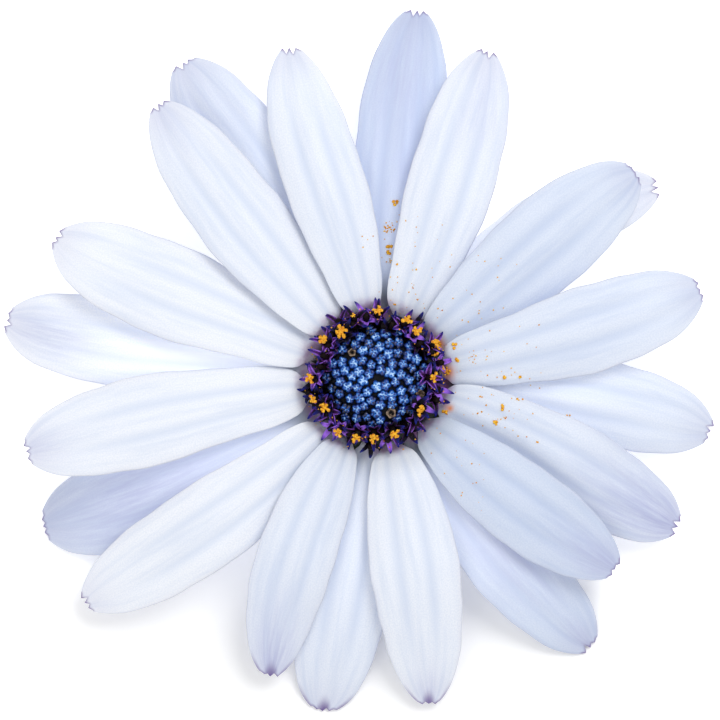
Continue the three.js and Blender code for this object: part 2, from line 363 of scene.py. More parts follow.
def hand_over(piece: Object, slot: Slot, *nodes: str) -> None:
    """Tie a finished piece to the frame and report it.

    Args:
        piece: The finished piece.
        slot: The record's slot for its finish; not used.
        *nodes: The nodes of the frame that it stands for.
    """
    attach(piece, BODY)
    if nodes:
        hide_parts(*nodes)
    LOG.info("%s: %d faces, for %s", piece.name, len(piece.data.polygons), ", ".join(nodes) or "itself")


# ---------------- geometry trees


class GrowthTree:
    """A geometry-node tree with named inputs, which grows a piece and is then baked.

    Attributes:
        group: The node group.
        inputs: The output sockets of the tree's own input node, by name.
        add: Adds a node to the tree, as add_node does.
    """

    def __init__(self, name: str, sockets: dict[str, str]) -> None:
        """Start a tree.

        Args:
            name: The tree's name.
            sockets: The type of each named input, besides the geometry that it starts from.
        """
        self.group = bpy.data.node_groups.new(name, "GeometryNodeTree")
        face = self.group.interface
        face.new_socket("Geometry", in_out="OUTPUT", socket_type="NodeSocketGeometry")
        face.new_socket("Geometry", in_out="INPUT", socket_type="NodeSocketGeometry")
        self.identifiers = {
            key: face.new_socket(key, in_out="INPUT", socket_type=f"NodeSocket{kind}").identifier
            for key, kind in sockets.items()
        }
        entry = self.group.nodes.new("NodeGroupInput")
        self.inputs = {socket.name: socket for socket in entry.outputs if socket.name}
        self.add: AddNode = partial(add_node, self.group)

    def close(self, instances: NodeSocket) -> "GrowthTree":
        """End the tree: make the instances real, and give them the finish that is its input.

        Args:
            instances: What the tree has laid.

        Returns:
            The tree.
        """
        real = self.add("GeometryNodeRealizeInstances", {"Geometry": instances})
        finish = self.inputs["Finish"]
        dressed = self.add("GeometryNodeSetMaterial", {"Geometry": real, "Material": finish})
        self.add("NodeGroupOutput", {"Geometry": dressed})
        return self

    def bake(self, name: str, seedbed: Object, values: dict[str, object]) -> Object:
        """Grow a piece on an object, keep the result as a plain mesh, and clear the object away.

        Args:
            name: The piece's name.
            seedbed: The object that the tree starts from.
            values: A value for each named input.

        Returns:
            The piece.
        """
        modifier = seedbed.modifiers.new(name, "NODES")
        modifier.node_group = self.group
        for key, value in values.items():
            modifier[self.identifiers[key]] = value
        graph = bpy.context.evaluated_depsgraph_get()
        mesh = bpy.data.meshes.new_from_object(
            seedbed.evaluated_get(graph), preserve_all_data_layers=True, depsgraph=graph
        )
        mesh.name = name
        mesh.shade_smooth()
        seedbed.modifiers.remove(modifier)
        bpy.data.objects.remove(seedbed)
        return place_in_scene(name, mesh, None)


def seedbed_of(name: str, places: list["Place"]) -> Object:
    """Make an object of loose points that carry what a placed tree reads.

    Args:
        name: The object's name.
        places: The places.

    Returns:
        The object, with the attributes turn, size, kind and tone.
    """
    mesh = bpy.data.meshes.new(name)
    mesh.from_pydata([tuple(p.spot * MM) for p in places], [], [])
    turn = mesh.attributes.new("turn", "FLOAT_VECTOR", "POINT")
    turn.data.foreach_set("vector", np.array([tuple(p.turn) for p in places], dtype=np.float32).ravel())
    for key, kind in (("size", "FLOAT"), ("kind", "INT"), ("tone", "FLOAT")):
        layer = mesh.attributes.new(key, kind, "POINT")
        layer.data.foreach_set("value", [getattr(p, key) for p in places])
    return place_in_scene(name, mesh, None)


@dataclass
class Place:
    """Where one repeat goes, and how it differs from the others.

    Attributes:
        spot: Its place in millimetres.
        turn: Its turn.
        size: Its scale.
        kind: Which of the variants it is.
        tone: How light it is, from 0 to 1.
    """

    spot: Array
    turn: Euler
    size: float = 1.0
    kind: int = 0
    tone: float = 0.5


def placed_tree() -> GrowthTree:
    """Build the tree that puts a variant at each point of its seedbed, as the point's values say.

    Returns:
        The tree.
    """
    tree = GrowthTree("placed repeats", {"Variants": "Collection", "Finish": "Material"})
    turn, size, kind = (
        tree.add("GeometryNodeInputNamedAttribute", {"Name": name}, data_type=number)
        for name, number in (("turn", "FLOAT_VECTOR"), ("size", "FLOAT"), ("kind", "INT"))
    )
    return tree.close(repeated(tree, tree.inputs["Geometry"], kind, turn, size))


def repeated(
    tree: GrowthTree, points: NodeSocket, kind: NodeSocket, turn: NodeSocket, size: NodeSocket
) -> NodeSocket:
    """Put one of a tree's variants at each point.

    Args:
        tree: The tree, whose inputs have the collection Variants.
        points: The points.
        kind: Which variant each of them gets.
        turn: Its turn, as Euler angles.
        size: Its scale.

    Returns:
        The instances.
    """
    shapes = {"Collection": tree.inputs["Variants"], "Separate Children": True, "Reset Children": True}
    return tree.add(
        "GeometryNodeInstanceOnPoints",
        {
            "Points": points, "Instance": tree.add("GeometryNodeCollectionInfo", shapes),
            "Pick Instance": True, "Instance Index": kind,
            "Rotation": tree.add("FunctionNodeEulerToRotation", {"Euler": turn}), "Scale": size,
        },
    )


def spiral_tree() -> GrowthTree:
    """Build the tree that sets buds in a daisy's spiral over a dome.

    The seedbed's points are places that the spiral leaves free for florets that have begun to open.

    Returns:
        The tree.
    """
    sizes = ("Field radius", "Crown height", "Edge height", "Edge lean", "Jitter", "Smallest", "Clearance")
    sockets = {name: "Int" for name in ("Buds", "Seed", "Kinds")}
    sockets |= {name: "Float" for name in (*sizes, "Shift")}
    tree = GrowthTree("disc spiral", {**sockets, "Variants": "Collection", "Finish": "Material"})
    given, add = tree.inputs, tree.add
    count, seed = given["Buds"], given["Seed"]
    index = add("GeometryNodeInputIndex")
    above = add("ShaderNodeMath", {0: index, 1: 0.5}, operation="ADD")
    below = add("ShaderNodeMath", {0: count, 1: 0.5}, operation="SUBTRACT")
    share = add("ShaderNodeMath", {0: above, 1: below}, operation="DIVIDE")
    root = add("ShaderNodeMath", {0: share}, operation="SQRT")
    radius = add("ShaderNodeMath", {0: root, 1: given["Field radius"]}, operation="MULTIPLY")
    azimuth = add("ShaderNodeMath", {0: index, 1: GOLDEN_ANGLE}, operation="MULTIPLY")
    cosine = add("ShaderNodeMath", {0: azimuth}, operation="COSINE")
    sine = add("ShaderNodeMath", {0: azimuth}, operation="SINE")
    x = add("ShaderNodeMath", {0: radius, 1: cosine}, operation="MULTIPLY")
    y = add("ShaderNodeMath", {0: radius, 1: sine, 2: given["Shift"]}, operation="MULTIPLY_ADD")
    crown = given["Crown height"]
    fall = add("ShaderNodeMath", {0: given["Edge height"], 1: crown}, operation="SUBTRACT")
    z = add("ShaderNodeMath", {0: share, 1: fall, 2: crown}, operation="MULTIPLY_ADD")
    spot = add("ShaderNodeCombineXYZ", {0: x, 1: y, 2: z})
    points = add("GeometryNodePoints", {"Count": count, "Position": spot})
    low = add("ShaderNodeMath", {0: given["Jitter"], 1: -1.0}, operation="MULTIPLY")
    span = {"Min": low, "Max": given["Jitter"], "Seed": seed}
    stray = add("FunctionNodeRandomValue", span, data_type="FLOAT_VECTOR")
    strayed = add("GeometryNodeSetPosition", {"Geometry": points, "Offset": stray})
    other_seed = add("ShaderNodeMath", {0: seed, 1: 1.0}, operation="ADD")
    tone = add("FunctionNodeRandomValue", {"Seed": other_seed}, "Value", data_type="FLOAT")
    # Painted shade: buds darken toward the rim of the dome; the rest of each bud's tone differs at random.
    own_tone = add("ShaderNodeMath", {0: share, 1: -0.7, 2: tone}, operation="MULTIPLY_ADD")
    leaning = add("ShaderNodeMath", {0: share, 1: given["Edge lean"]}, operation="MULTIPLY")
    stance = add("ShaderNodeCombineXYZ", {0: 0.0, 1: leaning, 2: azimuth})
    held = strayed
    for name, number, value in (("tone", "FLOAT", own_tone), ("stance", "FLOAT_VECTOR", stance)):
        row = {"Geometry": held, "Name": name, "Value": value}
        held = add("GeometryNodeStoreNamedAttribute", row, data_type=number, domain="POINT")
    places = {0: given["Geometry"]}
    distance = add("GeometryNodeProximity", places, "Distance", target_element="POINTS")
    near = {0: distance, 1: given["Clearance"]}
    taken = add("FunctionNodeCompare", near, data_type="FLOAT", operation="LESS_THAN")
    kept = add("GeometryNodeDeleteGeometry", {"Geometry": held, "Selection": taken}, domain="POINT")
    last = add("ShaderNodeMath", {0: given["Kinds"], 1: 1.0}, operation="SUBTRACT")
    kind = add("FunctionNodeRandomValue", {"Max": last, "Seed": seed}, "Value", data_type="INT")
    sizes = {"Min": given["Smallest"], "Max": 1.0, "Seed": seed}
    size = add("FunctionNodeRandomValue", sizes, "Value", data_type="FLOAT")
    own_stance = add("GeometryNodeInputNamedAttribute", {"Name": "stance"}, data_type="FLOAT_VECTOR")
    buds = repeated(tree, kept, kind, own_stance, size)
    whole_turn = {"Max": 2 * math.pi, "Seed": other_seed}
    spin = add("FunctionNodeRandomValue", whole_turn, "Value", data_type="FLOAT")
    about_axis = add("FunctionNodeEulerToRotation", {"Euler": add("ShaderNodeCombineXYZ", {2: spin})})
    turned_buds = {"Instances": buds, "Rotation": about_axis, "Local Space": True}
    return tree.close(add("GeometryNodeRotateInstances", turned_buds))


ANY_LIFT = 2.0  # more than the steepest lift, so that a coat covers all of its surface
SMALLEST_GRAIN = 0.5  # in a coat, as a share of the greatest


def coat_tree() -> GrowthTree:
    """Build the tree that stands small shapes on a surface, where it doesn't face up too much.

    Returns:
        The tree.
    """
    sockets = {name: "Float" for name in ("Density", "Highest lift", "Smallest")}
    tree = GrowthTree("surface coat", {**sockets, "Seed": "Int", "Shape": "Object", "Finish": "Material"})
    given, add = tree.inputs, tree.add
    lift = add("ShaderNodeSeparateXYZ", {0: add("GeometryNodeInputNormal")}, "Z")
    limit = {0: lift, 1: given["Highest lift"]}
    chosen = add("FunctionNodeCompare", limit, data_type="FLOAT", operation="LESS_THAN")
    points = add(
        "GeometryNodeDistributePointsOnFaces",
        {"Mesh": given["Geometry"], "Selection": chosen, "Density": given["Density"], "Seed": given["Seed"]},
        "Points", distribute_method="RANDOM",
    )
    sizes = {"Min": given["Smallest"], "Max": 1.0, "Seed": given["Seed"]}
    repeats = add(
        "GeometryNodeInstanceOnPoints",
        {
            "Points": points,
            "Instance": add("GeometryNodeObjectInfo", {"Object": given["Shape"]}, "Geometry"),
            "Rotation": points.node.outputs["Rotation"],
            "Scale": add("FunctionNodeRandomValue", sizes, "Value", data_type="FLOAT"),
        },
    )
    return tree.close(repeats)


def grown(
    name: str, tree: GrowthTree, shapes: list[Shape], places: list[Place], values: dict[str, object]
) -> Object:
    """Grow a piece that repeats shapes, which are objects only until the tree is baked.

    Args:
        name: The piece's name.
        tree: The tree.
        shapes: The shapes, in the order of Place.kind.
        places: The places in its seedbed.
        values: A value for each of its inputs but the shapes.

    Returns:
        The piece.
    """
    variants = bpy.data.collections.new(name)
    for i, shape in enumerate(shapes):
        variant = shape.to_object(f"{name}_{i:02d}")
        bpy.context.scene.collection.objects.unlink(variant)
        variants.objects.link(variant)
    piece = tree.bake(name, seedbed_of(f"{name}_places", places), {**values, "Variants": variants})
    for variant in list(variants.objects):
        bpy.data.objects.remove(variant)
    bpy.data.collections.remove(variants)
    return piece


def coated(
    name: str, surface: Object, shape: Shape, density: float, lift: float, seed: int, finish: Material
) -> Object:
    """Stand a small shape all over a piece, as a piece of its own.

    Args:
        name: The new piece's name.
        surface: The piece that is coated, which stays as it is.
        shape: The shape, which stands on its origin.
        density: How many of them stand on a square millimetre.
        lift: How far up the surface may face where they stand, from -1 to 1.
        seed: For their places and sizes.
        finish: Their material.

    Returns:
        The new piece.
    """
    grain = shape.to_object(f"{name}_shape")
    values = {
        "Density": density / MM**2, "Highest lift": lift, "Smallest": SMALLEST_GRAIN, "Seed": seed,
        "Shape": grain, "Finish": finish,
    }
    coat = coat_tree().bake(name, place_in_scene(f"{name}_bed", surface.data.copy(), None), values)
    bpy.data.objects.remove(grain)
    return coat


# ---------------- finishes


MIXED = 2  # the place of a colour mix among its node's outputs, as 6 and 7 are of its colours


@dataclass(frozen=True)
class Finish:
    """What every finish has: its name, its gloss and how far light goes into it.

    Attributes:
        name: The material's name, for what the real surface is.
        roughness: The shader's roughness.
        ior: Index of refraction of the surface's skin.
        inner_light: The subsurface weight.
        inner_reach: How far light wanders inside, in millimetres.
    """

    name: str
    roughness: float
    ior: float = 1.42
    inner_light: float = 0.0
    inner_reach: float = 0.5

    def begin(self) -> tuple[Material, AddNode]:
        """Start the material.

        Returns:
            The material, and what adds a node to its tree.
        """
        material = bpy.data.materials.new(self.name)
        material.use_nodes = True
        material.node_tree.nodes.clear()
        return material, partial(add_node, material.node_tree)

    def end(self, material: Material, own: dict[str, object]) -> Material:
        """Give the material its shader.

        Args:
            material: The material, with the rest of its nodes.
            own: What this finish alone gives to the shader's inputs.

        Returns:
            The material.
        """
        inputs = {
            "Roughness": self.roughness, "IOR": self.ior, "Subsurface Weight": self.inner_light,
            "Subsurface Radius": (1.0, 1.0, 1.0), "Subsurface Scale": self.inner_reach * MM, **own,
        }
        surface = add_node(material.node_tree, "ShaderNodeBsdfPrincipled", inputs)
        add_node(material.node_tree, "ShaderNodeOutputMaterial", {"Surface": surface})
        return material

    def grained(
        self, add: AddNode, pitch: float, relief: float, detail: float, strength: float = 0.5
    ) -> tuple[NodeSocket, NodeSocket]:
        """Make an uneven grain that lies in the piece, whichever way its surface goes.

        Args:
            add: What adds a node to the material's tree.
            pitch: From one grain to the next, in millimetres.
            relief: The grain's height, in millimetres.
            detail: How many finer sizes lie on the first.
            strength: How much of the relief shows.

        Returns:
            The noise that the grain follows, and the normal of the surface with its relief.
        """
        place = add("ShaderNodeTexCoord", out="Object")
        noise = add("ShaderNodeTexNoise", {"Vector": place, "Scale": 1 / (pitch * MM), "Detail": detail})
        return noise, add("ShaderNodeBump", {"Strength": strength, "Distance": relief * MM, "Height": noise})

    def layered(
        self, add: AddNode, colour: NodeSocket, layers: tuple[tuple[str, str, NodeSocket | None], ...]
    ) -> NodeSocket:
        """Lay tints over a colour.

        Args:
            add: What adds a node to the material's tree.
            colour: The colour below them.
            layers: The attribute that says where each lies, its tint, and a pattern that breaks it up.

        Returns:
            The colour with all of them.
        """
        for name, tint, pattern in layers:
            amount = add("ShaderNodeAttribute", out="Fac", attribute_name=name)
            if pattern is not None:
                amount = add("ShaderNodeMath", {0: amount, 1: pattern}, operation="MULTIPLY")
            mix = {0: amount, 6: colour, 7: linear(tint)}
            colour = add("ShaderNodeMix", mix, MIXED, data_type="RGBA")
        return colour


@dataclass(frozen=True)
class RaySkin(Finish):
    """Skin of the white rays: fine, dull cells over lengthwise veins, satin rather than shiny.

    Attributes:
        white: The skin between the veins.
        vein: The blue-white that runs along the veins, and that also paints shade where the skin lies in a
            groove.
        cool: The grey-blue of painted shade, that a ray's white leans to where it gets less light.
        blush: The grey-lilac of patches that are partly the underside's pigment coming through and partly
            painted shade, where a neighbour shades a ray.
        stain: The violet of the teeth and the outermost edge, darker toward the tip, which also paints shade
            down the crease and along the rim of a pinched tip.
        halo: The purple at the foot of each ray.
        foot: The grey-brown of the painted shade on each ray's foot near the disc, where it lies deep between
            the others.
        dust: The orange that pollen has left where it fell thickest.
        underside: The slate-violet stripe under each ray.
        lit: The colour of a painted glow, an emission on the feet of the rays that lie lowest, which stands
            in for the sheet's light coming up through them.
        vein_length: Length of a streak along a vein, in millimetres.
        vein_pitch: From one vein to the next, in millimetres.
        cell_pitch: From one skin cell to the next; the real 0.03 mm is drawn four times coarser.
        blotch_pitch: Size of the halo's soft blotches, in millimetres.
        relief: Height of the veins, in millimetres.
    """

    name: str = "ray floret skin, matt living petal"
    roughness: float = 0.55
    inner_light: float = 0.25
    inner_reach: float = 0.6
    white: str = "#EEF1F8"
    vein: str = "#CDD7EA"
    cool: str = "#D6DFEE"
    blush: str = "#B3B9D8"
    stain: str = "#583684"
    halo: str = "#8A3C8C"
    foot: str = "#4A5046"
    dust: str = "#DC7A0A"
    underside: str = "#A2A8CB"
    lit: str = "#F3F6FF"
    vein_length: float = 12.0
    vein_pitch: float = 1.25
    cell_pitch: float = 0.16
    blotch_pitch: float = 1.3
    relief: float = 0.03

    def material(self) -> Material:
        """Mix the streaked white, then lay the ray's own stains and its painted shade over it, and give it
        its painted glow.

        Returns:
            The material.
        """
        material, add = self.begin()
        chart = add("ShaderNodeUVMap", out="UV", uv_map="skin")
        stretch = (1 / self.vein_length, 1 / self.vein_pitch, 1.0)
        along_veins = add("ShaderNodeMapping", {"Vector": chart, "Scale": stretch})
        grain = {"Vector": along_veins, "Scale": 1.0, "Detail": 3.0, "Roughness": 0.55}
        streaks = add("ShaderNodeTexNoise", grain)
        cells = add("ShaderNodeTexNoise", {"Vector": chart, "Scale": 1 / self.cell_pitch, "Detail": 1.0})
        streak = add(
            "ShaderNodeMapRange", {"Value": streaks, "From Min": 0.4, "From Max": 0.74, "To Max": 0.5},
            interpolation_type="SMOOTHSTEP",
        )
        # Partly painted shade: the two grooves take the vein colour, for their veins and for the shade that
        # lies in them.
        furrow = add("ShaderNodeAttribute", out="Fac", attribute_name="furrow")
        veined = add("ShaderNodeMath", {0: streak, 1: furrow}, operation="MAXIMUM")
        vein = linear(self.vein)
        mix = {0: veined, 6: linear(self.white), 7: vein}
        colour = add("ShaderNodeMix", mix, MIXED, data_type="RGBA")
        span = {"Value": cells, "From Min": 0.35, "From Max": 0.65, "To Max": 0.32}
        dusty = add("ShaderNodeMapRange", span)
        colour = add("ShaderNodeMix", {0: dusty, 6: colour, 7: vein}, MIXED, data_type="RGBA")
        # Painted shade: each ray's white is multiplied toward grey-blue by how little light it gets.
        shade = add("ShaderNodeAttribute", out="Fac", attribute_name="cool")
        mix = {0: shade, 6: colour, 7: linear(self.cool)}
        colour = add("ShaderNodeMix", mix, MIXED, data_type="RGBA", blend_type="MULTIPLY")
        grain = {"Vector": along_veins, "Scale": 2.2, "Detail": 4.0, "Roughness": 0.7}
        patches = add("ShaderNodeTexNoise", grain)
        span = {"Value": patches, "From Min": 0.3, "From Max": 0.62, "To Min": 0.25}
        broken = add("ShaderNodeMapRange", span)
        place = add("ShaderNodeTexCoord", out="Object")
        grain = {"Vector": place, "Scale": 1 / (self.blotch_pitch * MM), "Detail": 3.0}
        blotches = add("ShaderNodeTexNoise", grain)
        blotched = add(
            "ShaderNodeMapRange", {"Value": blotches, "From Min": 0.36, "From Max": 0.62, "To Min": 0.12}
        )
        # Among these, the foot is painted shade, and the patches and the tip's stain are partly painted
        # shade.
        layers = (
            ("blush", self.blush, broken), ("under", self.underside, broken), ("foot", self.foot, None),
            ("halo", self.halo, blotched), ("dust", self.dust, None), ("stain", self.stain, None),
        )
        height = add("ShaderNodeMath", {0: cells, 1: 0.35, 2: streaks}, operation="MULTIPLY_ADD")
        relief = {"Strength": 0.6, "Distance": self.relief * MM, "Height": height}
        own = {
            # Painted light: the feet of the rays that lie lowest glow a little, though they are no lamp.
            "Base Color": self.layered(add, colour, layers), "Emission Color": linear(self.lit),
            "Emission Strength": add("ShaderNodeAttribute", out="Fac", attribute_name="lit"),
            "Normal": add("ShaderNodeBump", relief),
        }
        return self.end(material, own)


@dataclass(frozen=True)
class BudSkin(Finish):
    """Skin of the closed florets: waxy, taut and deep blue, with painted shade in the hollows and on the
    flanks, and painted highlights on the crests.

    Attributes:
        hollow: The near-black blue of the painted shade between the lobes.
        painted_flank_shade: The deep blue of the painted shade on a lobe's side.
        body: The full blue nearer its top.
        bright: The lighter blue of painted light round a lobe's crest.
        crest: The pale blue of the painted highlight on top of a lobe.
        bloom_pitch: Size of the wax's mottling, in millimetres.
    """

    name: str = "closed floret skin, waxy blue"
    roughness: float = 0.3
    inner_light: float = 0.05
    inner_reach: float = 0.1
    hollow: str = "#010310"
    painted_flank_shade: str = "#061C55"
    body: str = "#1147A0"
    bright: str = "#3B86D8"
    crest: str = "#B9DBFF"
    bloom_pitch: float = 0.16

    def material(self) -> Material:
        """Run from painted shade in the hollows to painted highlights on the crests, each bud a little
        lighter or darker than the next.

        Returns:
            The material.
        """
        material, add = self.begin()
        place = add("ShaderNodeTexCoord", out="Object")
        grain = {"Vector": place, "Scale": 1 / (self.bloom_pitch * MM), "Detail": 2.0}
        bloom = add("ShaderNodeTexNoise", grain)
        crest, tone = (
            add("ShaderNodeAttribute", out="Fac", attribute_name=name) for name in ("crest", "tone")
        )
        lift = add("ShaderNodeMath", {0: tone, 1: 0.38, 2: -0.38}, operation="MULTIPLY_ADD")
        mottled = add("ShaderNodeMath", {0: bloom, 1: 0.3, 2: lift}, operation="MULTIPLY_ADD")
        level = add("ShaderNodeMath", {0: crest, 1: mottled}, operation="ADD")
        colour = add("ShaderNodeValToRGB", {"Fac": level})
        stops = colour.node.color_ramp.elements
        stops[0].position, stops[0].color = 0.03, linear(self.hollow)
        stops[1].position, stops[1].color = 1.0, linear(self.crest)
        for position, blue in ((0.2, self.painted_flank_shade), (0.46, self.body), (0.76, self.bright)):
            stops.new(position).color = linear(blue)
        return self.end(material, {"Base Color": colour, "Coat Weight": 0.5, "Coat Roughness": 0.15})


@dataclass(frozen=True)
class LobeSkin(Finish):
    """Skin of the open florets: satiny violet lobes that darken to navy points, over dark tubes.

    Attributes:
        throat: The dark of the tube.
        deep: The near-black violet of the oldest florets.
        wine: The red violet between the two.
        light: The pale violet of the freshest florets, which a lobe's edges also lean to as a painted
            highlight.
        point: The navy of each lobe's tip.
        fibre_pitch: Width of the fine streaks along a lobe, in millimetres.
    """

    name: str = "open floret skin, satiny violet"
    roughness: float = 0.5
    inner_light: float = 0.1
    inner_reach: float = 0.15
    throat: str = "#140A18"
    deep: str = "#070414"
    wine: str = "#54246C"
    light: str = "#9E6AE2"
    point: str = "#181D74"
    fibre_pitch: float = 0.14

    def material(self) -> Material:
        """Run along each lobe from the throat to its point, by each floret's own tone, with painted
        highlights on its edges.

        Returns:
            The material.
        """
        material, add = self.begin()
        fibre, relief = self.grained(add, self.fibre_pitch, 0.02, 2.0)
        along, tone, edge = (
            add("ShaderNodeAttribute", out="Fac", attribute_name=name) for name in ("along", "tone", "edge")
        )
        own = add("ShaderNodeMath", {0: fibre, 1: 0.5, 2: tone}, operation="MULTIPLY_ADD")
        # Painted highlight: a lobe's raised edges lean to the lighter violet.
        own = add("ShaderNodeMath", {0: edge, 1: 0.35, 2: own}, operation="MULTIPLY_ADD")
        span = {"Value": own, "From Min": 0.58, "From Max": 1.22}
        fresh_tone_and_edge_highlight = add("ShaderNodeMapRange", span, interpolation_type="SMOOTHSTEP")
        violet = add("ShaderNodeValToRGB", {"Fac": fresh_tone_and_edge_highlight})
        stops = violet.node.color_ramp.elements
        stops[0].color, stops[1].color = linear(self.deep), linear(self.light)
        stops.new(0.4).color = linear(self.wine)
        out_of_throat = add("ShaderNodeMapRange", {"Value": along, "From Min": 0.02, "From Max": 0.22})
        mix = {0: out_of_throat, 6: linear(self.throat), 7: violet}
        lobe = add("ShaderNodeMix", mix, MIXED, data_type="RGBA")
        near_point = add("ShaderNodeMapRange", {"Value": along, "From Min": 0.62, "From Max": 0.92})
        mix = {0: near_point, 6: lobe, 7: linear(self.point)}
        colour = add("ShaderNodeMix", mix, MIXED, data_type="RGBA")
        return self.end(material, {"Base Color": colour, "Specular IOR Level": 0.16, "Normal": relief})


@dataclass(frozen=True)
class MottledSkin(Finish):
    """A dull skin of two close colours in fine grains: anthers, pollen, bracts and hairs.

    Attributes:
        dark: The colour in the grain's hollows.
        pale: The colour on its tops.
        grain: The grain's pitch, in millimetres.
        relief: The grain's height, in millimetres.
        gloss: How strongly the skin mirrors, where 0.5 is usual.
    """

    dark: str = "#000000"
    pale: str = "#FFFFFF"
    grain: float = 0.1
    relief: float = 0.02
    gloss: float = 0.5

    def material(self) -> Material:
        """Mix the two colours by one noise, which also raises the grain.

        Returns:
            The material.
        """
        material, add = self.begin()
        noise, relief = self.grained(add, self.grain, self.relief, 3.0, 0.7)
        spread = add("ShaderNodeMapRange", {"Value": noise, "From Min": 0.35, "From Max": 0.65})
        mix = {0: spread, 6: linear(self.dark), 7: linear(self.pale)}
        colour = add("ShaderNodeMix", mix, MIXED, data_type="RGBA")
        return self.end(material, {"Base Color": colour, "Specular IOR Level": self.gloss, "Normal": relief})


# Painted shade: dull and almost black, for the shade deep between the buds, so that they stand out from it.
PAINTED_SHADE_FLOOR = MottledSkin("disc floor, dull dark tissue_in_painted_shade", 0.9, dark="#020308", pale="#070A18", grain=0.2)
# Like a dry lip: the only warm colours among the buds.
LIP = MottledSkin("opening floret lip, dry brown and cream", 0.5, dark="#1C1220", pale="#9C8672", grain=0.25)
# Dry and hardly shiny, the darkest thing in the ring.
ANTHER_WALL = MottledSkin(
    "anther wall, dry blackish brown", 0.5, dark="#060406", pale="#1C0F0C", grain=0.14, gloss=0.12
)
# Oily grains, which glow a little where the light gets into them.
POLLEN_GRAIN = MottledSkin(
    "pollen, sticky orange grains", 0.65, inner_light=0.1, inner_reach=0.1, dark="#D07806", pale="#FFCB34",
    grain=0.2, relief=0.04,
)
# Thin enough for light to come through.
BRACT_HAIR = MottledSkin(
    "bract hair, pale and translucent", 0.4, inner_light=0.2, inner_reach=0.1, dark="#B9C69B", pale="#E2E8CE",
    grain=0.3,
)


@dataclass(frozen=True)
class LightTable(Finish):
    """White acrylic, lit from below on its far side, so that shadows show on its near side alone.

    Attributes:
        sheet: The acrylic's own white.
        dim: How bright its own light is on the near side, where 1 is white.
        glow: The same on the far side.
        near: The Y, in millimetres, up to which its own light is dim.
        far: The Y from which its own light is full.
    """

    name: str = "studio floor, backlit white acrylic"
    roughness: float = 0.8
    sheet: str = "#FBFBFB"
    dim: float = 0.1
    glow: float = 0.5
    near: float = -28.0
    far: float = -6.0

    def material(self) -> Material:
        """Set the sheet's white, and let its glow grow from the near side to the far one.

        Returns:
            The material.
        """
        material, add = self.begin()
        sheet = linear(self.sheet)
        place = add("ShaderNodeTexCoord", out="Object")
        depth = add("ShaderNodeSeparateXYZ", {0: place}, "Y")
        span = {"Value": depth, "From Min": self.near * MM, "From Max": self.far * MM}
        span |= {"To Min": self.dim, "To Max": self.glow}
        glow = add("ShaderNodeMapRange", span, interpolation_type="SMOOTHSTEP")
        return self.end(material, {"Base Color": sheet, "Emission Color": sheet, "Emission Strength": glow})


@dataclass(frozen=True)
class BractSkin(Finish):
    """Skin of the bracts: leathery green with a pale rib and a papery, purple-tipped margin.

    Attributes:
        green: The blade between rib and margin.
        dark: Its darker mottling.
        rib: The pale green of the middle rib.
        margin: The thin, dry edge.
        tip: The purple of the point.
        inner: The painted shade of the face that lies against the rays, and of the cup's top under the disc.
        mottle: The mottling's pitch, in millimetres.
    """

    name: str = "bract skin, leathery green leaf"
    roughness: float = 0.55
    inner_light: float = 0.1
    inner_reach: float = 0.3
    green: str = "#6E9147"
    dark: str = "#48692E"
    rib: str = "#9DB873"
    margin: str = "#C9CFA8"
    tip: str = "#6B4A63"
    inner: str = "#4C5347"
    mottle: float = 0.5

    def material(self) -> Material:
        """Lay the rib, the margin, the tip and the painted shade of the face under the rays over the mottled
        green.

        Returns:
            The material.
        """
        material, add = self.begin()
        noise, relief = self.grained(add, self.mottle, 0.05, 4.0)
        mix = {0: noise, 6: linear(self.green), 7: linear(self.dark)}
        colour = add("ShaderNodeMix", mix, MIXED, data_type="RGBA")
        # The last of these is painted shade, where the bracts and the cup lie under the rays and the disc.
        stains = (("rib", self.rib), ("margin", self.margin), ("stain", self.tip), ("inner", self.inner))
        colour = self.layered(add, colour, tuple((name, tint, None) for name, tint in stains))
        return self.end(material, {"Base Color": colour, "Normal": relief})


# ---------------- ray florets

BELLY = 0.52
OUTLINE = [
    (0, 0.14), (0.022, 0.22), (0.06, 0.49), (0.18, 0.72), (0.35, 0.91), (BELLY, 1),
    (0.67, 0.965), (0.8, 0.845), (0.88, 0.7), (0.93, 0.55), (0.97, 0.37), (1, 0.17),
]  # share of a ray's half width along it, where its belly is at BELLY
RESTS = 0.0  # the end height of a ray whose tip lies on the surface
CLAW_RADIUS = 6.1  # where the rays' claws begin, from the head's axis
CLAW_TOP = 5.9  # the upper face's height there
NECK = 0.06  # the shares of the length where a ray's height is its neck's and its crown's
CROWN = 0.45
CLAW_FLARE = (0.06, 0.35)  # between these shares of the length the flare gives way to the belly
FURROW = 1 / 3  # where the two furrows lie, as a share of the half width
SETTLINGS = 6  # how often a resting ray is lowered until it just meets the surface
CHART_STEP = (60.0, 7.0)  # from one ray's place on the chart to the next's, so that no two look alike
MIDLINE_STEPS = 401  # points that a midline's length is measured by
RIM_STEPS = 240  # points along the end's edge that stains are measured from


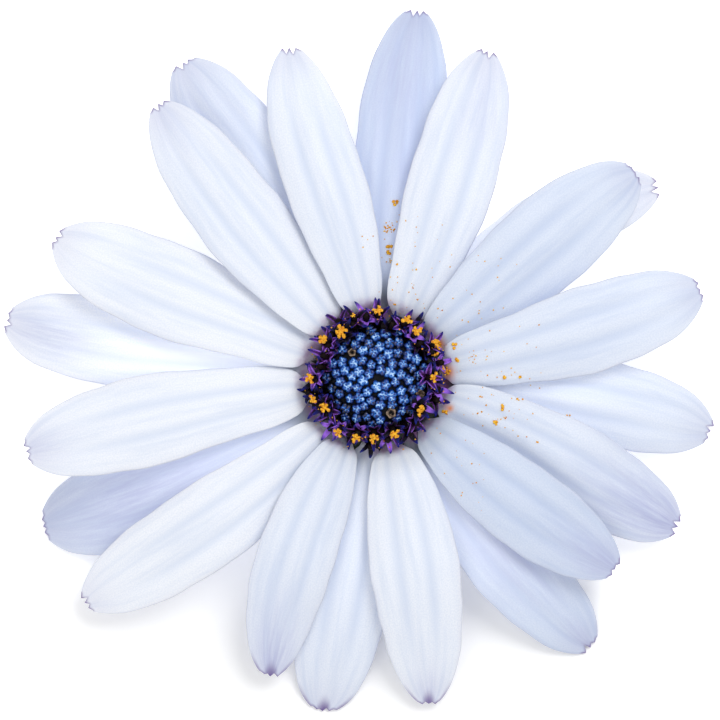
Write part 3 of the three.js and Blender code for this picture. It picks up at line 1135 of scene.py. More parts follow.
@dataclass
class RayFloret:
    """One white ray, as a thin blade from its claw under the disc to its toothed tip.

    Attributes:
        claw: Azimuth at which it leaves the rim.
        tip: Azimuth of its tip.
        reach: From the head's axis to the tip.
        heading: The way its midline points at the tip.
        width: Its greatest width.
        belly: How far along it is widest, as a share of its length.
        neck: Height of its upper face just outside the disc.
        crown: The same near its middle.
        end: The same at its tip, or RESTS.
        roll: Its turn about its length at the base, positive where its left side is lifted.
        cool: How far its white leans to grey-blue as painted shade, by how little light the ray gets, from 0
            to 1.
        blush: Grey-lilac patches, partly pigment and partly painted shade, each (how far along, how far to
            the left, radius in mm, strength).
        lit: How strong the painted glow on its foot is, an emission that stands in for the lit sheet's light
            coming up through it, where 1 is white.
        tip_stain_and_shade: How dark its pinched tip is, from 0 to 1: violet stain, with painted shade down
            the tip's crease and along its rim.
        toothed: How deep the notches of its tip are, from 0 to 1.
        shaded: How strong the painted shade on its foot is, from 0 to 1, grey-brown near the disc and most
            where it lies deep.
    """

    claw: float
    tip: float
    reach: float
    heading: float
    width: float
    belly: float
    neck: float
    crown: float
    end: float
    roll: float
    cool: float = 0.3
    blush: tuple[tuple[float, float, float, float], ...] = ()
    lit: float = 0.0
    tip_stain_and_shade: float = 0.0
    shaded: float = 0.0
    toothed: float = 0.85

    def midline(self, share: Array) -> tuple[Array, Array]:
        """Follow the ray's midline in plan.

        Args:
            share: How far along, as shares of its length.

        Returns:
            The places and the unit directions there.
        """
        start, finish = polar(CLAW_RADIUS, self.claw), polar(self.reach, self.tip)
        third = np.linalg.norm(finish - start) / 3
        leaving, arriving = polar(third, self.claw), polar(third, self.heading)
        knots = np.array([start, start + leaving, finish - arriving, finish])

        def at(t: Array) -> Array:
            """Give the curve's places at its own parameter."""
            weights = [(1 - t) ** 3, 3 * t * (1 - t) ** 2, 3 * t * t * (1 - t), t**3]
            return np.stack(weights, axis=-1) @ knots

        fine = np.linspace(0, 1, MIDLINE_STEPS)
        steps = np.linalg.norm(np.diff(at(fine), axis=0), axis=1)
        travelled = np.r_[0, np.cumsum(steps)]
        t = np.interp(share * travelled[-1], travelled, fine)
        ahead, behind = at(np.minimum(t + 1e-3, 1)), at(np.maximum(t - 1e-3, 0))
        direction = (ahead - behind) / np.linalg.norm(ahead - behind, axis=1, keepdims=True)
        return at(t), direction

    def half_width(self, share: Array) -> Array:
        """Give half the ray's width at shares of its length.

        Args:
            share: The shares.

        Returns:
            The half widths, in millimetres.
        """
        bellied = share ** (math.log(BELLY) / math.log(self.belly))
        place = share + (bellied - share) * smoothstep(*CLAW_FLARE, share)
        return self.width / 2 * through(OUTLINE, place)

    def length(self) -> float:
        """Give the straight length from claw to tip."""
        return float(np.linalg.norm(polar(self.reach, self.tip) - polar(CLAW_RADIUS, self.claw)))


@dataclass(frozen=True)
class Blank:
    """The grid that a ray's blade is laid out on.

    Attributes:
        s: Each row's share of the length, as a column.
        u: Each column's place, from -1 on the right to 1 on the left, as a row.
        cut: How far short of the tip each column stops, as a row.
        phases: Where the ray's waves begin.
    """

    s: Array
    u: Array
    cut: Array
    phases: Array


@dataclass
class RayFlorets:
    """The twenty white rays.

    Attributes:
        rays: Their own measures, by node.
        camber: How far a ray's edges hang below its middle, at its widest.
        groove: Depth of the two lengthwise grooves.
        rib: Height of the fine ribs between them.
        wave: Height of a ray's slow, uneven waves.
        thickness: Of a blade's middle.
        claw_thickness: Of the claw.
        edge_share: The edge's thickness, as a share of the middle's.
        crown_width: From the first tooth of a ray's end to the last.
        notch_depth: Of the deepest notches between the teeth.
        dusted: Where pollen has dusted the rays thickly, each (x, y, radius).
        rows: How many rows of points go along a ray.
        columns: How many go across.
        seed: For the waves and the teeth.
        pieces: The rays, once built.
    """

    rays: list[RayFloret]
    camber: float = 0.75
    groove: float = 0.21
    rib: float = 0.013
    wave: float = 0.035
    thickness: float = 0.36
    claw_thickness: float = 0.6
    edge_share: float = 0.28
    crown_width: float = 1.3
    notch_depth: float = 0.95
    dusted: tuple[tuple[float, float, float], ...] = ((6.3, 3.6, 0.6), (7.2, 0.9, 0.6), (7.4, -2.7, 0.35))
    rows: int = 86
    columns: int = 31
    seed: int = 7
    pieces: list[Object] = field(default_factory=list)

    def build(self) -> None:
        """Build each ray and hand it over for its node."""
        skin = RaySkin().material()
        random = default_rng(self.seed)
        for i, ray in enumerate(self.rays):
            node = f"ray_floret_{i + 1:02d}"
            piece = self.shape(ray, i, random).to_object(f"{node}_petal", skin)
            hand_over(piece, Slot.WHITE_RAY, node)
            self.pieces.append(piece)

    def shape(self, ray: RayFloret, number: int, random: Generator) -> Shape:
        """Make one ray's blade.

        Args:
            ray: The ray.
            number: Its place in the row, which keeps its streaks apart from the others'.
            random: Where its waves and teeth come from.

        Returns:
            The blade, with the values and the chart that RaySkin reads.
        """
        even = np.linspace(0, 1, self.rows)
        s = (0.35 * even + 0.65 * (1 - (1 - even) ** 1.7))[:, None]
        phases = random.uniform(0, 2 * math.pi, 8)
        u, cut = self.notches(ray, random)
        blank = Blank(s, u, cut, phases)
        end = ray.end
        for _ in range(SETTLINGS):
            upper = self.upper_face(ray, end, blank)
            lower = upper - face_normals(upper) * self.thickness_at(blank)[..., None]
            if ray.end != RESTS:
                break
            end -= lower[..., 2].min()
        along, across = (step * number for step in CHART_STEP)
        chart = np.broadcast_arrays(s * ray.length() + along, u * ray.width / 2 + across)
        return blade(upper, lower, self.stains(ray, blank, upper), np.stack(chart, axis=-1))

    def thickness_at(self, blank: Blank) -> Array:
        """Give the blade's thickness by row and column: stout at the claw, thin at the edges.

        Args:
            blank: The blade's grid.

        Returns:
            The thickness, in millimetres.
        """
        s = blank.s
        middle = self.thickness + (self.claw_thickness - self.thickness) * smoothstep(0.09, 0.03, s)
        thinning = smoothstep(0.0, 0.1, s) * (1 - self.edge_share) * blank.u**4
        return middle * (1 - thinning) * (1 - 0.3 * smoothstep(0.7, 1.0, s))

    def upper_face(self, ray: RayFloret, end: float, blank: Blank) -> Array:
        """Make the grid of a ray's upper face.

        Args:
            ray: The ray.
            end: Height of the tip.
            blank: The grid that it is laid out on.

        Returns:
            The points by row and column.
        """
        u, phases = blank.u, blank.phases
        s = blank.s - smoothstep(0.93, 1.0, blank.s) * blank.cut / ray.length()
        half = ray.half_width(s)
        middle, along = (found.reshape(*s.shape, 2) for found in ray.midline(s.ravel()))
        fullness = 2 * half / ray.width
        height = through([(0, CLAW_TOP), (NECK, ray.neck), (CROWN, ray.crown), (1, end)], s)
        roll = math.radians(ray.roll) * (1 - 0.7 * s) * np.minimum(1, s / NECK)
        across = np.abs(u)
        hollow = self.camber * across**2 + self.groove * bell(across - FURROW, 0.15)
        ribs = self.rib * np.cos(u * 6.5 * math.pi + phases[0] * 0.3)
        waves = self.wave * smoothstep(0.05, 0.3, s) * fullness * (
            np.sin(9.0 * s + 2.1 * u + phases[1])
            + 0.6 * np.sin(21.0 * s - 3.3 * u + phases[2])
            + 0.8 * across * np.sin(26.0 * s + np.sign(u) + phases[3])
        )
        sway = 1 + 0.012 * np.sin(17 * s + phases[4]) + 0.008 * np.sin(41 * s + phases[5])
        side = half * sway * u
        left = np.stack([-along[..., 1], along[..., 0]], axis=-1)
        plan = middle + left * (side * np.cos(roll))[..., None]
        top = height + side * np.sin(roll) - fullness**2 * (hollow - ribs) + waves
        return np.concatenate([plan, top[..., None]], axis=-1)

    def notches(self, ray: RayFloret, random: Generator) -> tuple[Array, Array]:
        """Lay out the columns, and cut the blunt end into three pointed teeth by two uneven notches.

        Args:
            ray: The ray.
            random: Where the teeth's and the notches' places and depths come from.

        Returns:
            Each column's place across, with one column for each corner of the teeth, and how far short
            of the tip it stops, in millimetres.
        """
        even = np.linspace(-1, 1, self.columns)
        u = even * (1.25 - 0.25 * even * even)
        side = np.linspace(-1, 1, 5) * self.crown_width / 2 + random.uniform(-0.06, 0.06, 5)
        back = 0.22 * random.random(5)
        back[1::2] = ray.toothed * self.notch_depth * random.uniform(0.4, 1.0, 2)
        corners = side / ray.half_width(1 - back / ray.length())
        crowded = np.abs(u[:, None] - corners).min(axis=1) < 0.03
        u = np.sort(np.r_[u[~crowded], corners])
        short = np.linspace(0, 1.3, 261)
        reach = u[:, None] * ray.half_width(1 - short / ray.length())
        shoulders = [side[0] - 0.4, *side, side[-1] + 0.4]
        line = np.interp(reach, shoulders, [back[0] + 0.25, *back, back[-1] + 0.25])
        return u[None, :], short[np.argmax(short >= line, axis=1)][None, :]

    def stains(self, ray: RayFloret, blank: Blank, upper: Array) -> dict[str, Array]:
        """Work out where a ray is stained, and where its painted shade and painted glow go.

        Args:
            ray: The ray.
            blank: The grid that it is laid out on.
            upper: The upper face's points.

        Returns:
            The amounts of each stain, painted shade and painted glow, by face, row and column.
        """
        s, u = blank.s, blank.u
        across, length = np.abs(u), ray.length()
        from_disc = np.hypot(upper[..., 0], upper[..., 1] - DISC_SHIFT)
        to_tip = (1 - s) * length * np.ones_like(u)
        samples = np.linspace(-1, 1, RIM_STEPS)
        rim = np.stack([np.interp(samples, u[0], upper[-1, :, axis]) for axis in (0, 1)], axis=-1)
        to_end = np.linalg.norm(upper[..., None, :2] - rim, axis=-1).min(axis=-1)
        to_rim = np.minimum(to_end, (1 - across) * ray.width / 2 * (1.2 - s))
        # Painted shade, partly violet stain: a dark crease down the middle of the tip, and a darker rim near
        # its end.
        crease = bell(across * ray.half_width(s), 0.5) * bell(to_tip, 1.25)
        tip_crease_and_rim_shade = np.maximum(crease, 0.8 * bell(to_rim, 0.2) * smoothstep(0.88, 0.99, s))
        toothing = (0.38 + 0.42 * smoothstep(0.45, 0.1, blank.cut)) * bell(to_end, 0.13)
        edge = 0.13 * across**14 * smoothstep(0.1, 0.4, s)
        stain = np.maximum(toothing + 0.14 * bell(to_tip, 2.8), np.maximum(edge, ray.tip_stain_and_shade * tip_crease_and_rim_shade))
        # Patches that are partly lilac pigment and partly painted shade, where a neighbouring ray shades this
        # one.
        blush = np.zeros_like(from_disc)
        for along, left, radius, strength in ray.blush:
            off = np.hypot((s - along) * length * 0.6, (u - left) * ray.width / 2)
            blush = np.maximum(blush, strength * bell(off, radius))
        dust = np.zeros_like(from_disc)
        for x, y, radius in self.dusted:
            dust = np.maximum(dust, bell(np.hypot(upper[..., 0] - x, upper[..., 1] - y), radius))
        below = np.array([0.0, 1.0])[:, None, None]
        above = 1 - below
        # Painted shade: the grey-blue tint, the foot's grey-brown, and part of the grooves, the patches and
        # the tip's stain. Painted light: the glow of the foot.
        return {
            "cool": np.full_like(from_disc, ray.cool),
            "furrow": 0.62 * bell(across - FURROW, 0.13) * smoothstep(0.95, 0.6, s), "blush": blush * above,
            "under": below * np.exp(-((across / 0.75) ** 4)) * smoothstep(0.03, 0.15, s),
            "dust": dust * above, "halo": 0.7 * smoothstep(8.4, 6.9, from_disc) * (1 - 0.3 * below),
            "stain": stain, "foot": ray.shaded * smoothstep(10.8, 7.6, from_disc) * above,
            "lit": ray.lit * smoothstep(0.95, 0.25, s) * smoothstep(8.0, 12.0, from_disc) * above,
        }


# ---------------- florets of the disc


@dataclass
class ClosedFlorets:
    """The dome of closed five-lobed florets, in the spiral that a daisy's disc grows in.

    Attributes:
        count: How many buds the spiral has.
        field_radius: To the middles of the outermost buds.
        edge_height: Of the dome under them.
        crown_height: Of the dome's middle.
        core_radius: Of the dome that carries the buds, near-black with painted shade.
        base_height: Where the dome stands on the receptacle.
        lobe_size: Half of a lobe's depth, breadth and height; each bud has five lobes.
        lobe_offset: From the bud's axis to a lobe's middle.
        lobe_lean: How far a lobe's top leans over the bud's middle, in degrees.
        edge_lean: How far the outermost buds lean out, in radians.
        jitter: How far a bud may stray from its place in the spiral.
        smallest: The smallest bud's size, as a share of the greatest's.
        clearance: How far from the middle of an opening or a bare place the nearest bud's is.
        opening: Plan places of the buds that have begun to open.
        mouths: The radii of their lips.
        bare: Plan places where buds have stayed behind, and the near-black floor of painted shade shows.
        bud_kinds: How many different buds there are.
        seed: For the buds' places, sizes, tones and turns.
    """

    count: int = 80
    field_radius: float = 4.95
    edge_height: float = 7.75
    crown_height: float = 8.5
    core_radius: float = 4.6
    base_height: float = 5.3
    lobe_size: tuple[float, float, float] = (0.34, 0.31, 0.46)
    lobe_offset: float = 0.35
    lobe_lean: float = 16.0
    edge_lean: float = 0.55
    jitter: float = 0.1
    smallest: float = 0.86
    clearance: float = 0.5
    opening: tuple[tuple[float, float], ...] = ((-2.3, 2.55), (4.5, -1.6), (1.6, -3.5))
    mouths: tuple[float, ...] = (0.36, 0.42, 0.46)
    bare: tuple[tuple[float, float], ...] = ((0.4, -0.1), (1.35, -1.2), (2.9, -3.8))
    bud_kinds: int = 12
    seed: int = 3

    def build(self) -> None:
        """Build the dome, its buds and the three that are opening."""
        skin = BudSkin().material()
        core = self.core().to_object("disc_core", PAINTED_SHADE_FLOOR.material())
        hand_over(core, Slot.BLUE_FLORET, "closed_florets")
        free = [
            Place(np.array([x, y + DISC_SHIFT, self.dome(math.hypot(x, y))]), Euler((0, 0, 2.0 * x)), kind=i)
            for i, (x, y) in enumerate((*self.opening, *self.bare))
        ]
        places = free[: len(self.opening)]
        random = default_rng(self.seed)
        buds = [self.bud(random) for _ in range(self.bud_kinds)]
        values = {
            "Buds": self.count, "Field radius": self.field_radius * MM,
            "Crown height": self.crown_height * MM, "Edge height": self.edge_height * MM,
            "Edge lean": self.edge_lean, "Jitter": self.jitter * MM, "Smallest": self.smallest,
            "Clearance": self.clearance * MM, "Shift": DISC_SHIFT * MM, "Seed": self.seed,
            "Kinds": self.bud_kinds, "Finish": skin,
        }
        piece = grown("closed_buds", spiral_tree(), buds, free, values)
        hand_over(piece, Slot.BLUE_FLORET, "closed_florets")
        parted = [self.parted(mouth) for mouth in self.mouths]
        opened = grown("opening_buds", placed_tree(), parted, places, {"Finish": LIP.material()})
        hand_over(opened, Slot.BLUE_FLORET, "closed_florets")

    def dome(self, radius: float) -> float:
        """Give the dome's height at a radius."""
        fall = self.crown_height - self.edge_height
        return self.crown_height - fall * (radius / self.field_radius) ** 2

    def core(self) -> Shape:
        """Make the dome between the buds, which their lobes almost hide, near-black with painted shade.

        Returns:
            The dome.
        """
        radii = self.core_radius * np.array([1, 1, 0.97, 0.85, 0.7, 0.5, 0.3, 0.1])
        drops = np.array([0, 0.25, 0.1, 0.05, 0.05, 0.05, 0.05, 0.05])
        heights = np.array([self.dome(radius) for radius in radii]) - drops
        heights[0] = self.base_height
        profile = np.stack([radii, heights], axis=-1)
        shape = turned(profile, 48)
        return shape.moved(Matrix.Translation((0, DISC_SHIFT, 0)))

    def bud(self, random: Generator) -> Shape:
        """Make a closed floret: five plump, uneven lobes pressed together over a short tube.

        Args:
            random: Where the lobes' differences come from.

        Returns:
            The bud, whose lobes' middles are at the height of its origin, with the value crest.
        """
        tube = np.array([[0.3, -1.0], [0.42, -0.6], [0.46, -0.2], [0.3, 0.1]])
        parts = [turned(tube, 10, {"crest": np.zeros(len(tube))})]
        for i in range(5):
            turn = math.radians(72 * i + random.uniform(-9, 9))
            parts.append(self.lobe(random).moved(Matrix.Rotation(turn, 4, "Z")))
        return Shape.joined(parts)

    def lobe(self, random: Generator) -> Shape:
        """Make one lobe of a bud on +X: a taut, flat-topped egg that leans over the middle.

        Args:
            random: Where its size, lean and brightness come from.

        Returns:
            The lobe, with the value crest, which sets its painted shade and highlight: highest near its top,
            mostly on the side toward the bud's middle.
        """
        egg = np.array(
            [[0.5, -0.8], [0.88, -0.45], [1.0, -0.05], [0.98, 0.32], [0.86, 0.62], [0.64, 0.84],
             [0.4, 0.93], [0.18, 0.93]]
        )
        # Painted shade and highlight: dark at the lobe's foot, brightest near its top.
        crest = np.array([0.0, 0.08, 0.22, 0.4, 0.64, 0.98, 0.86, 0.54])
        shape = turned(egg, 12, {"crest": crest})
        turn = shape.azimuths()
        top = smoothstep(0.2, 0.7, shape.points[:, 2])
        # Painted highlight: a brighter crescent on one side of each lobe's top, turned at random.
        inwards = 1 - 0.4 * np.cos(turn - random.uniform(-1.6, 1.6)) * top
        shape.values["crest"] = shape.values["crest"] * inwards * random.uniform(0.7, 1.15)
        shape.points *= np.array(self.lobe_size) * random.uniform(0.86, 1.08, 3)
        lean = math.radians(-self.lobe_lean * random.uniform(0.3, 1.5))
        spot = (self.lobe_offset * random.uniform(0.9, 1.08), 0.0, random.uniform(-0.06, 0.06))
        return shape.moved(Matrix.Translation(spot) @ Matrix.Rotation(lean, 4, "Y"))

    def parted(self, mouth: float) -> Shape:
        """Make a floret that has begun to open: a rolled lip round a dark throat.

        Args:
            mouth: The lip's radius.

        Returns:
            The floret, whose lip is near its origin.
        """
        radii = mouth * np.array([0.7, 0.85, 1.05, 1.1, 1.0, 0.8, 0.62, 0.5, 0.3])
        heights = np.array([-0.7, -0.2, 0.15, 0.3, 0.42, 0.4, 0.25, 0.0, -0.1])
        profile = np.stack([radii, heights], axis=-1)
        shape = turned(profile, 25)
        shape.points[:, 2] += 0.05 * np.cos(5 * shape.azimuths())
        shape.flute(0.09, 5)
        return shape


@dataclass
class OpenFlorets:
    """The ring of open violet florets, which fan out from a ledge round the dome.

    Attributes:
        ripe: Azimuth and radius, about the disc's axis, and size of each head of pollen.
        plain_count: How many more florets stand between them, without pollen.
        plain_radii: The radii of their mouths, in turn.
        dent: Azimuth at which the ring of plain florets is dented.
        dent_width: How many degrees the dent reaches on each side.
        dent_depth: How deep it is.
        foot_radius: Where the tubes stand on the ledge.
        foot_height: The height there.
        tube_length: From the foot to the mouth.
        column_length: From the mouth to the top of the anthers.
        column_reach: How far out of the mouth, in plan, the anthers' top lies.
        lobe_length: Of a corolla lobe.
        lobe_width: The same, across.
        seed: For turns, tones and shapes.
        heads: Where the pollen goes, once the florets are built.
        corollas: The florets' piece, once built.
    """

    ripe: tuple[tuple[float, float, float], ...] = (
        (87, 6.7, 1.05), (61, 6.6, 1.0), (48, 6.25, 0.95), (30, 7.0, 0.8), (0.5, 5.8, 1.0), (-35, 5.6, 1.1),
        (-71, 5.9, 0.95), (-91.5, 5.95, 0.95), (-108, 6.25, 0.9), (-124.5, 6.5, 0.95), (-150, 5.8, 1.0),
        (-161, 6.55, 0.9), (180, 6.5, 0.95), (143, 6.4, 1.1), (126, 5.8, 1.15), (109, 6.6, 0.5),
    )
    plain_count: int = 30
    plain_radii: tuple[float, ...] = (5.4, 6.2, 5.8)
    dent: float = 158.0
    dent_width: float = 14.0
    dent_depth: float = 0.7
    foot_radius: float = 5.2
    foot_height: float = 6.4
    tube_length: float = 2.2
    column_length: float = 0.95
    column_reach: float = 0.6
    lobe_length: float = 1.42
    lobe_width: float = 0.52
    seed: int = 5
    heads: list[Place] = field(default_factory=list)
    corollas: Object | None = None

    def build(self) -> None:
        """Build the ledge, the corollas and the anther columns."""
        random = default_rng(self.seed)
        mouths, columns = self.florets(random)
        skin = LobeSkin().material()
        shapes = [self.corolla(random) for _ in range(VARIANT_COUNT)]
        self.corollas = grown("open_corollas", placed_tree(), shapes, mouths, {"Finish": skin})
        hand_over(self.corollas, Slot.VIOLET_FLORET, "open_florets")
        ledge = self.ledge().to_object("floret_ledge", skin)
        hand_over(ledge, Slot.VIOLET_FLORET, "open_florets")
        stems = [self.column(random) for _ in range(VARIANT_COUNT)]
        anthers = grown("anther_columns", placed_tree(), stems, columns, {"Finish": ANTHER_WALL.material()})
        hand_over(anthers, Slot.DARK_ANTHER, "open_florets")

    def florets(self, random: Generator) -> tuple[list[Place], list[Place]]:
        """Place every floret, and keep the heads of the ripe ones.

        Args:
            random: Where the spacing, the shapes and the tones come from.

        Returns:
            The places of the corollas' mouths and of the anther columns in them.
        """
        mouths, columns = [], []
        for azimuth, radius, size in self.ripe:
            mouth, column, head = self.standing(azimuth, radius - self.column_reach, 1.0, random)
            mouths.append(mouth)
            columns.append(column)
            kind = int(random.integers(VARIANT_COUNT))
            self.heads.append(Place(head, column.turn, size, kind, random.random()))
        for i in range(self.plain_count):
            azimuth = (i + 0.5 * random.random()) / self.plain_count * 360
            radius = self.plain_radii[i % len(self.plain_radii)] + random.uniform(-0.25, 0.25)
            radius -= self.dent_depth * bell(azimuth - self.dent, self.dent_width)
            mouth, column, _ = self.standing(azimuth, radius, random.uniform(0.8, 1.0), random)
            mouths.append(mouth)
            columns.append(column)
        return mouths, columns

    def standing(
        self, azimuth: float, radius: float, height: float, random: Generator
    ) -> tuple[Place, Place, Array]:
        """Stand a floret on the ledge, its column bent out more than its tube.

        Args:
            azimuth: The floret's, in degrees.
            radius: Of its mouth.
            height: Of its tube, as a share of the full one.
            random: Where its shape, tone, size and the bend come from.

        Returns:
            The places of its mouth and its column, and where the column ends.
        """
        turn = math.radians(azimuth)
        lean = math.asin((radius - self.foot_radius) / self.tube_length)
        plan = polar(radius, azimuth)
        rise = self.foot_height + self.tube_length * height * math.cos(lean)
        spot = np.array([plan[0], plan[1] + DISC_SHIFT, rise])
        mouth = Place(
            spot, Euler((0, lean + 0.1, turn)), random.uniform(0.88, 1.05),
            int(random.integers(VARIANT_COUNT)), random.random() ** 1.8,
        )
        bend = math.asin(self.column_reach / self.column_length)
        kind = int(random.integers(VARIANT_COUNT))
        column = Place(spot, Euler((0, bend, turn)), 1.0, kind, random.random())
        out = polar(self.column_reach, azimuth)
        end = spot + np.array([out[0], out[1], self.column_length * math.cos(bend)])
        return mouth, column, end

    def ledge(self) -> Shape:
        """Make the ledge that the tubes stand on, from under the dome's edge outwards.

        Returns:
            The ledge, with the value along.
        """
        profile = np.array([[5.5, 5.3], [5.55, 6.0], [5.5, 6.6], [5.2, 6.75], [4.95, 6.7], [4.7, 6.7]])
        shape = turned(profile, 60, {"along": np.zeros(len(profile))})
        return shape.moved(Matrix.Translation((0, DISC_SHIFT, 0)))

    def corolla(self, random: Generator) -> Shape:
        """Make an open corolla: a tube and five pointed lobes bent back, the longest to +X.

        Args:
            random: Where the turn and the lobes' differences come from.

        Returns:
            The corolla, whose mouth is at its origin, with the values along and edge.
        """
        tube = np.array(
            [[0.3, -self.tube_length], [0.33, -1.2], [0.36, -0.5], [0.4, -0.15], [0.36, 0.0], [0.22, -0.05]]
        )
        parts = [turned(tube, 15, {"along": np.array([0, 0, 0, 0.06, 0.05, 0.0])})]
        start = random.uniform(-36, 36)
        for i in range(5):
            turn = math.radians(start + 72 * i + random.uniform(-9, 9))
            lobe = self.lobe(self.lobe_length * (1 + 0.35 * math.cos(turn)), random)
            parts.append(lobe.moved(Matrix.Rotation(turn, 4, "Z")))
        return Shape.joined(parts)

    def lobe(self, full_length: float, random: Generator) -> Shape:
        """Make one lobe, pointing along +X.

        Args:
            full_length: Its length, which it may fall a little short of.
            random: Where its length, droop and width come from.

        Returns:
            A channelled blade that tapers to a point, with the values along and edge.
        """
        t = np.linspace(0, 1, 11)
        u = np.linspace(-1, 1, 5)
        length = full_length * random.uniform(0.78, 1.1)
        slope = np.radians(70 * (1 - t) ** 1.3 + random.uniform(-40, 35) * t)
        step = length / (len(t) - 1)
        out = 0.28 + np.r_[0, np.cumsum(np.cos(slope[1:]))] * step
        rise = np.r_[0, np.cumsum(np.sin(slope[1:]))] * step - 0.05
        half = self.lobe_width / 2 * random.uniform(0.8, 1.1) * through(
            [(0, 0.8), (0.3, 1), (0.65, 0.72), (0.9, 0.3), (1, 0.05)], t
        )
        sway = random.uniform(-0.25, 0.25) * t**2
        gutter = 0.5 * half[:, None] * u[None, :] ** 2
        along = out[:, None] - gutter * np.sin(slope)[:, None]
        side = sway[:, None] + half[:, None] * u[None, :]
        height = rise[:, None] + gutter * np.cos(slope)[:, None]
        upper = np.stack([along, side, height], axis=-1)
        lower = upper - face_normals(upper) * 0.07
        # The second value places the painted highlight on the lobe's raised edges.
        values = {
            "along": np.repeat(0.12 + 0.88 * t[:, None], 5, axis=1),
            "edge": np.abs(u)[None, :] ** 2 * np.ones_like(t)[:, None],
        }
        return blade(upper, lower, values)

    def column(self, random: Generator) -> Shape:
        """Make an anther column: five dark ridges drawn together, out of the mouth.

        Args:
            random: Where its length and girth come from.

        Returns:
            The column, whose foot is in the mouth at its origin.
        """
        length = self.column_length * random.uniform(0.85, 1.0)
        girth = random.uniform(0.22, 0.28)
        profile = np.array(
            [[girth * 0.8, -0.3], [girth, 0.1], [girth * 1.15, length * 0.6], [girth * 1.1, length * 0.9],
             [girth * 0.6, length]]
        )
        shape = turned(profile, 20)
        shape.flute(0.14, 5)
        return shape


# ---------------- pollen


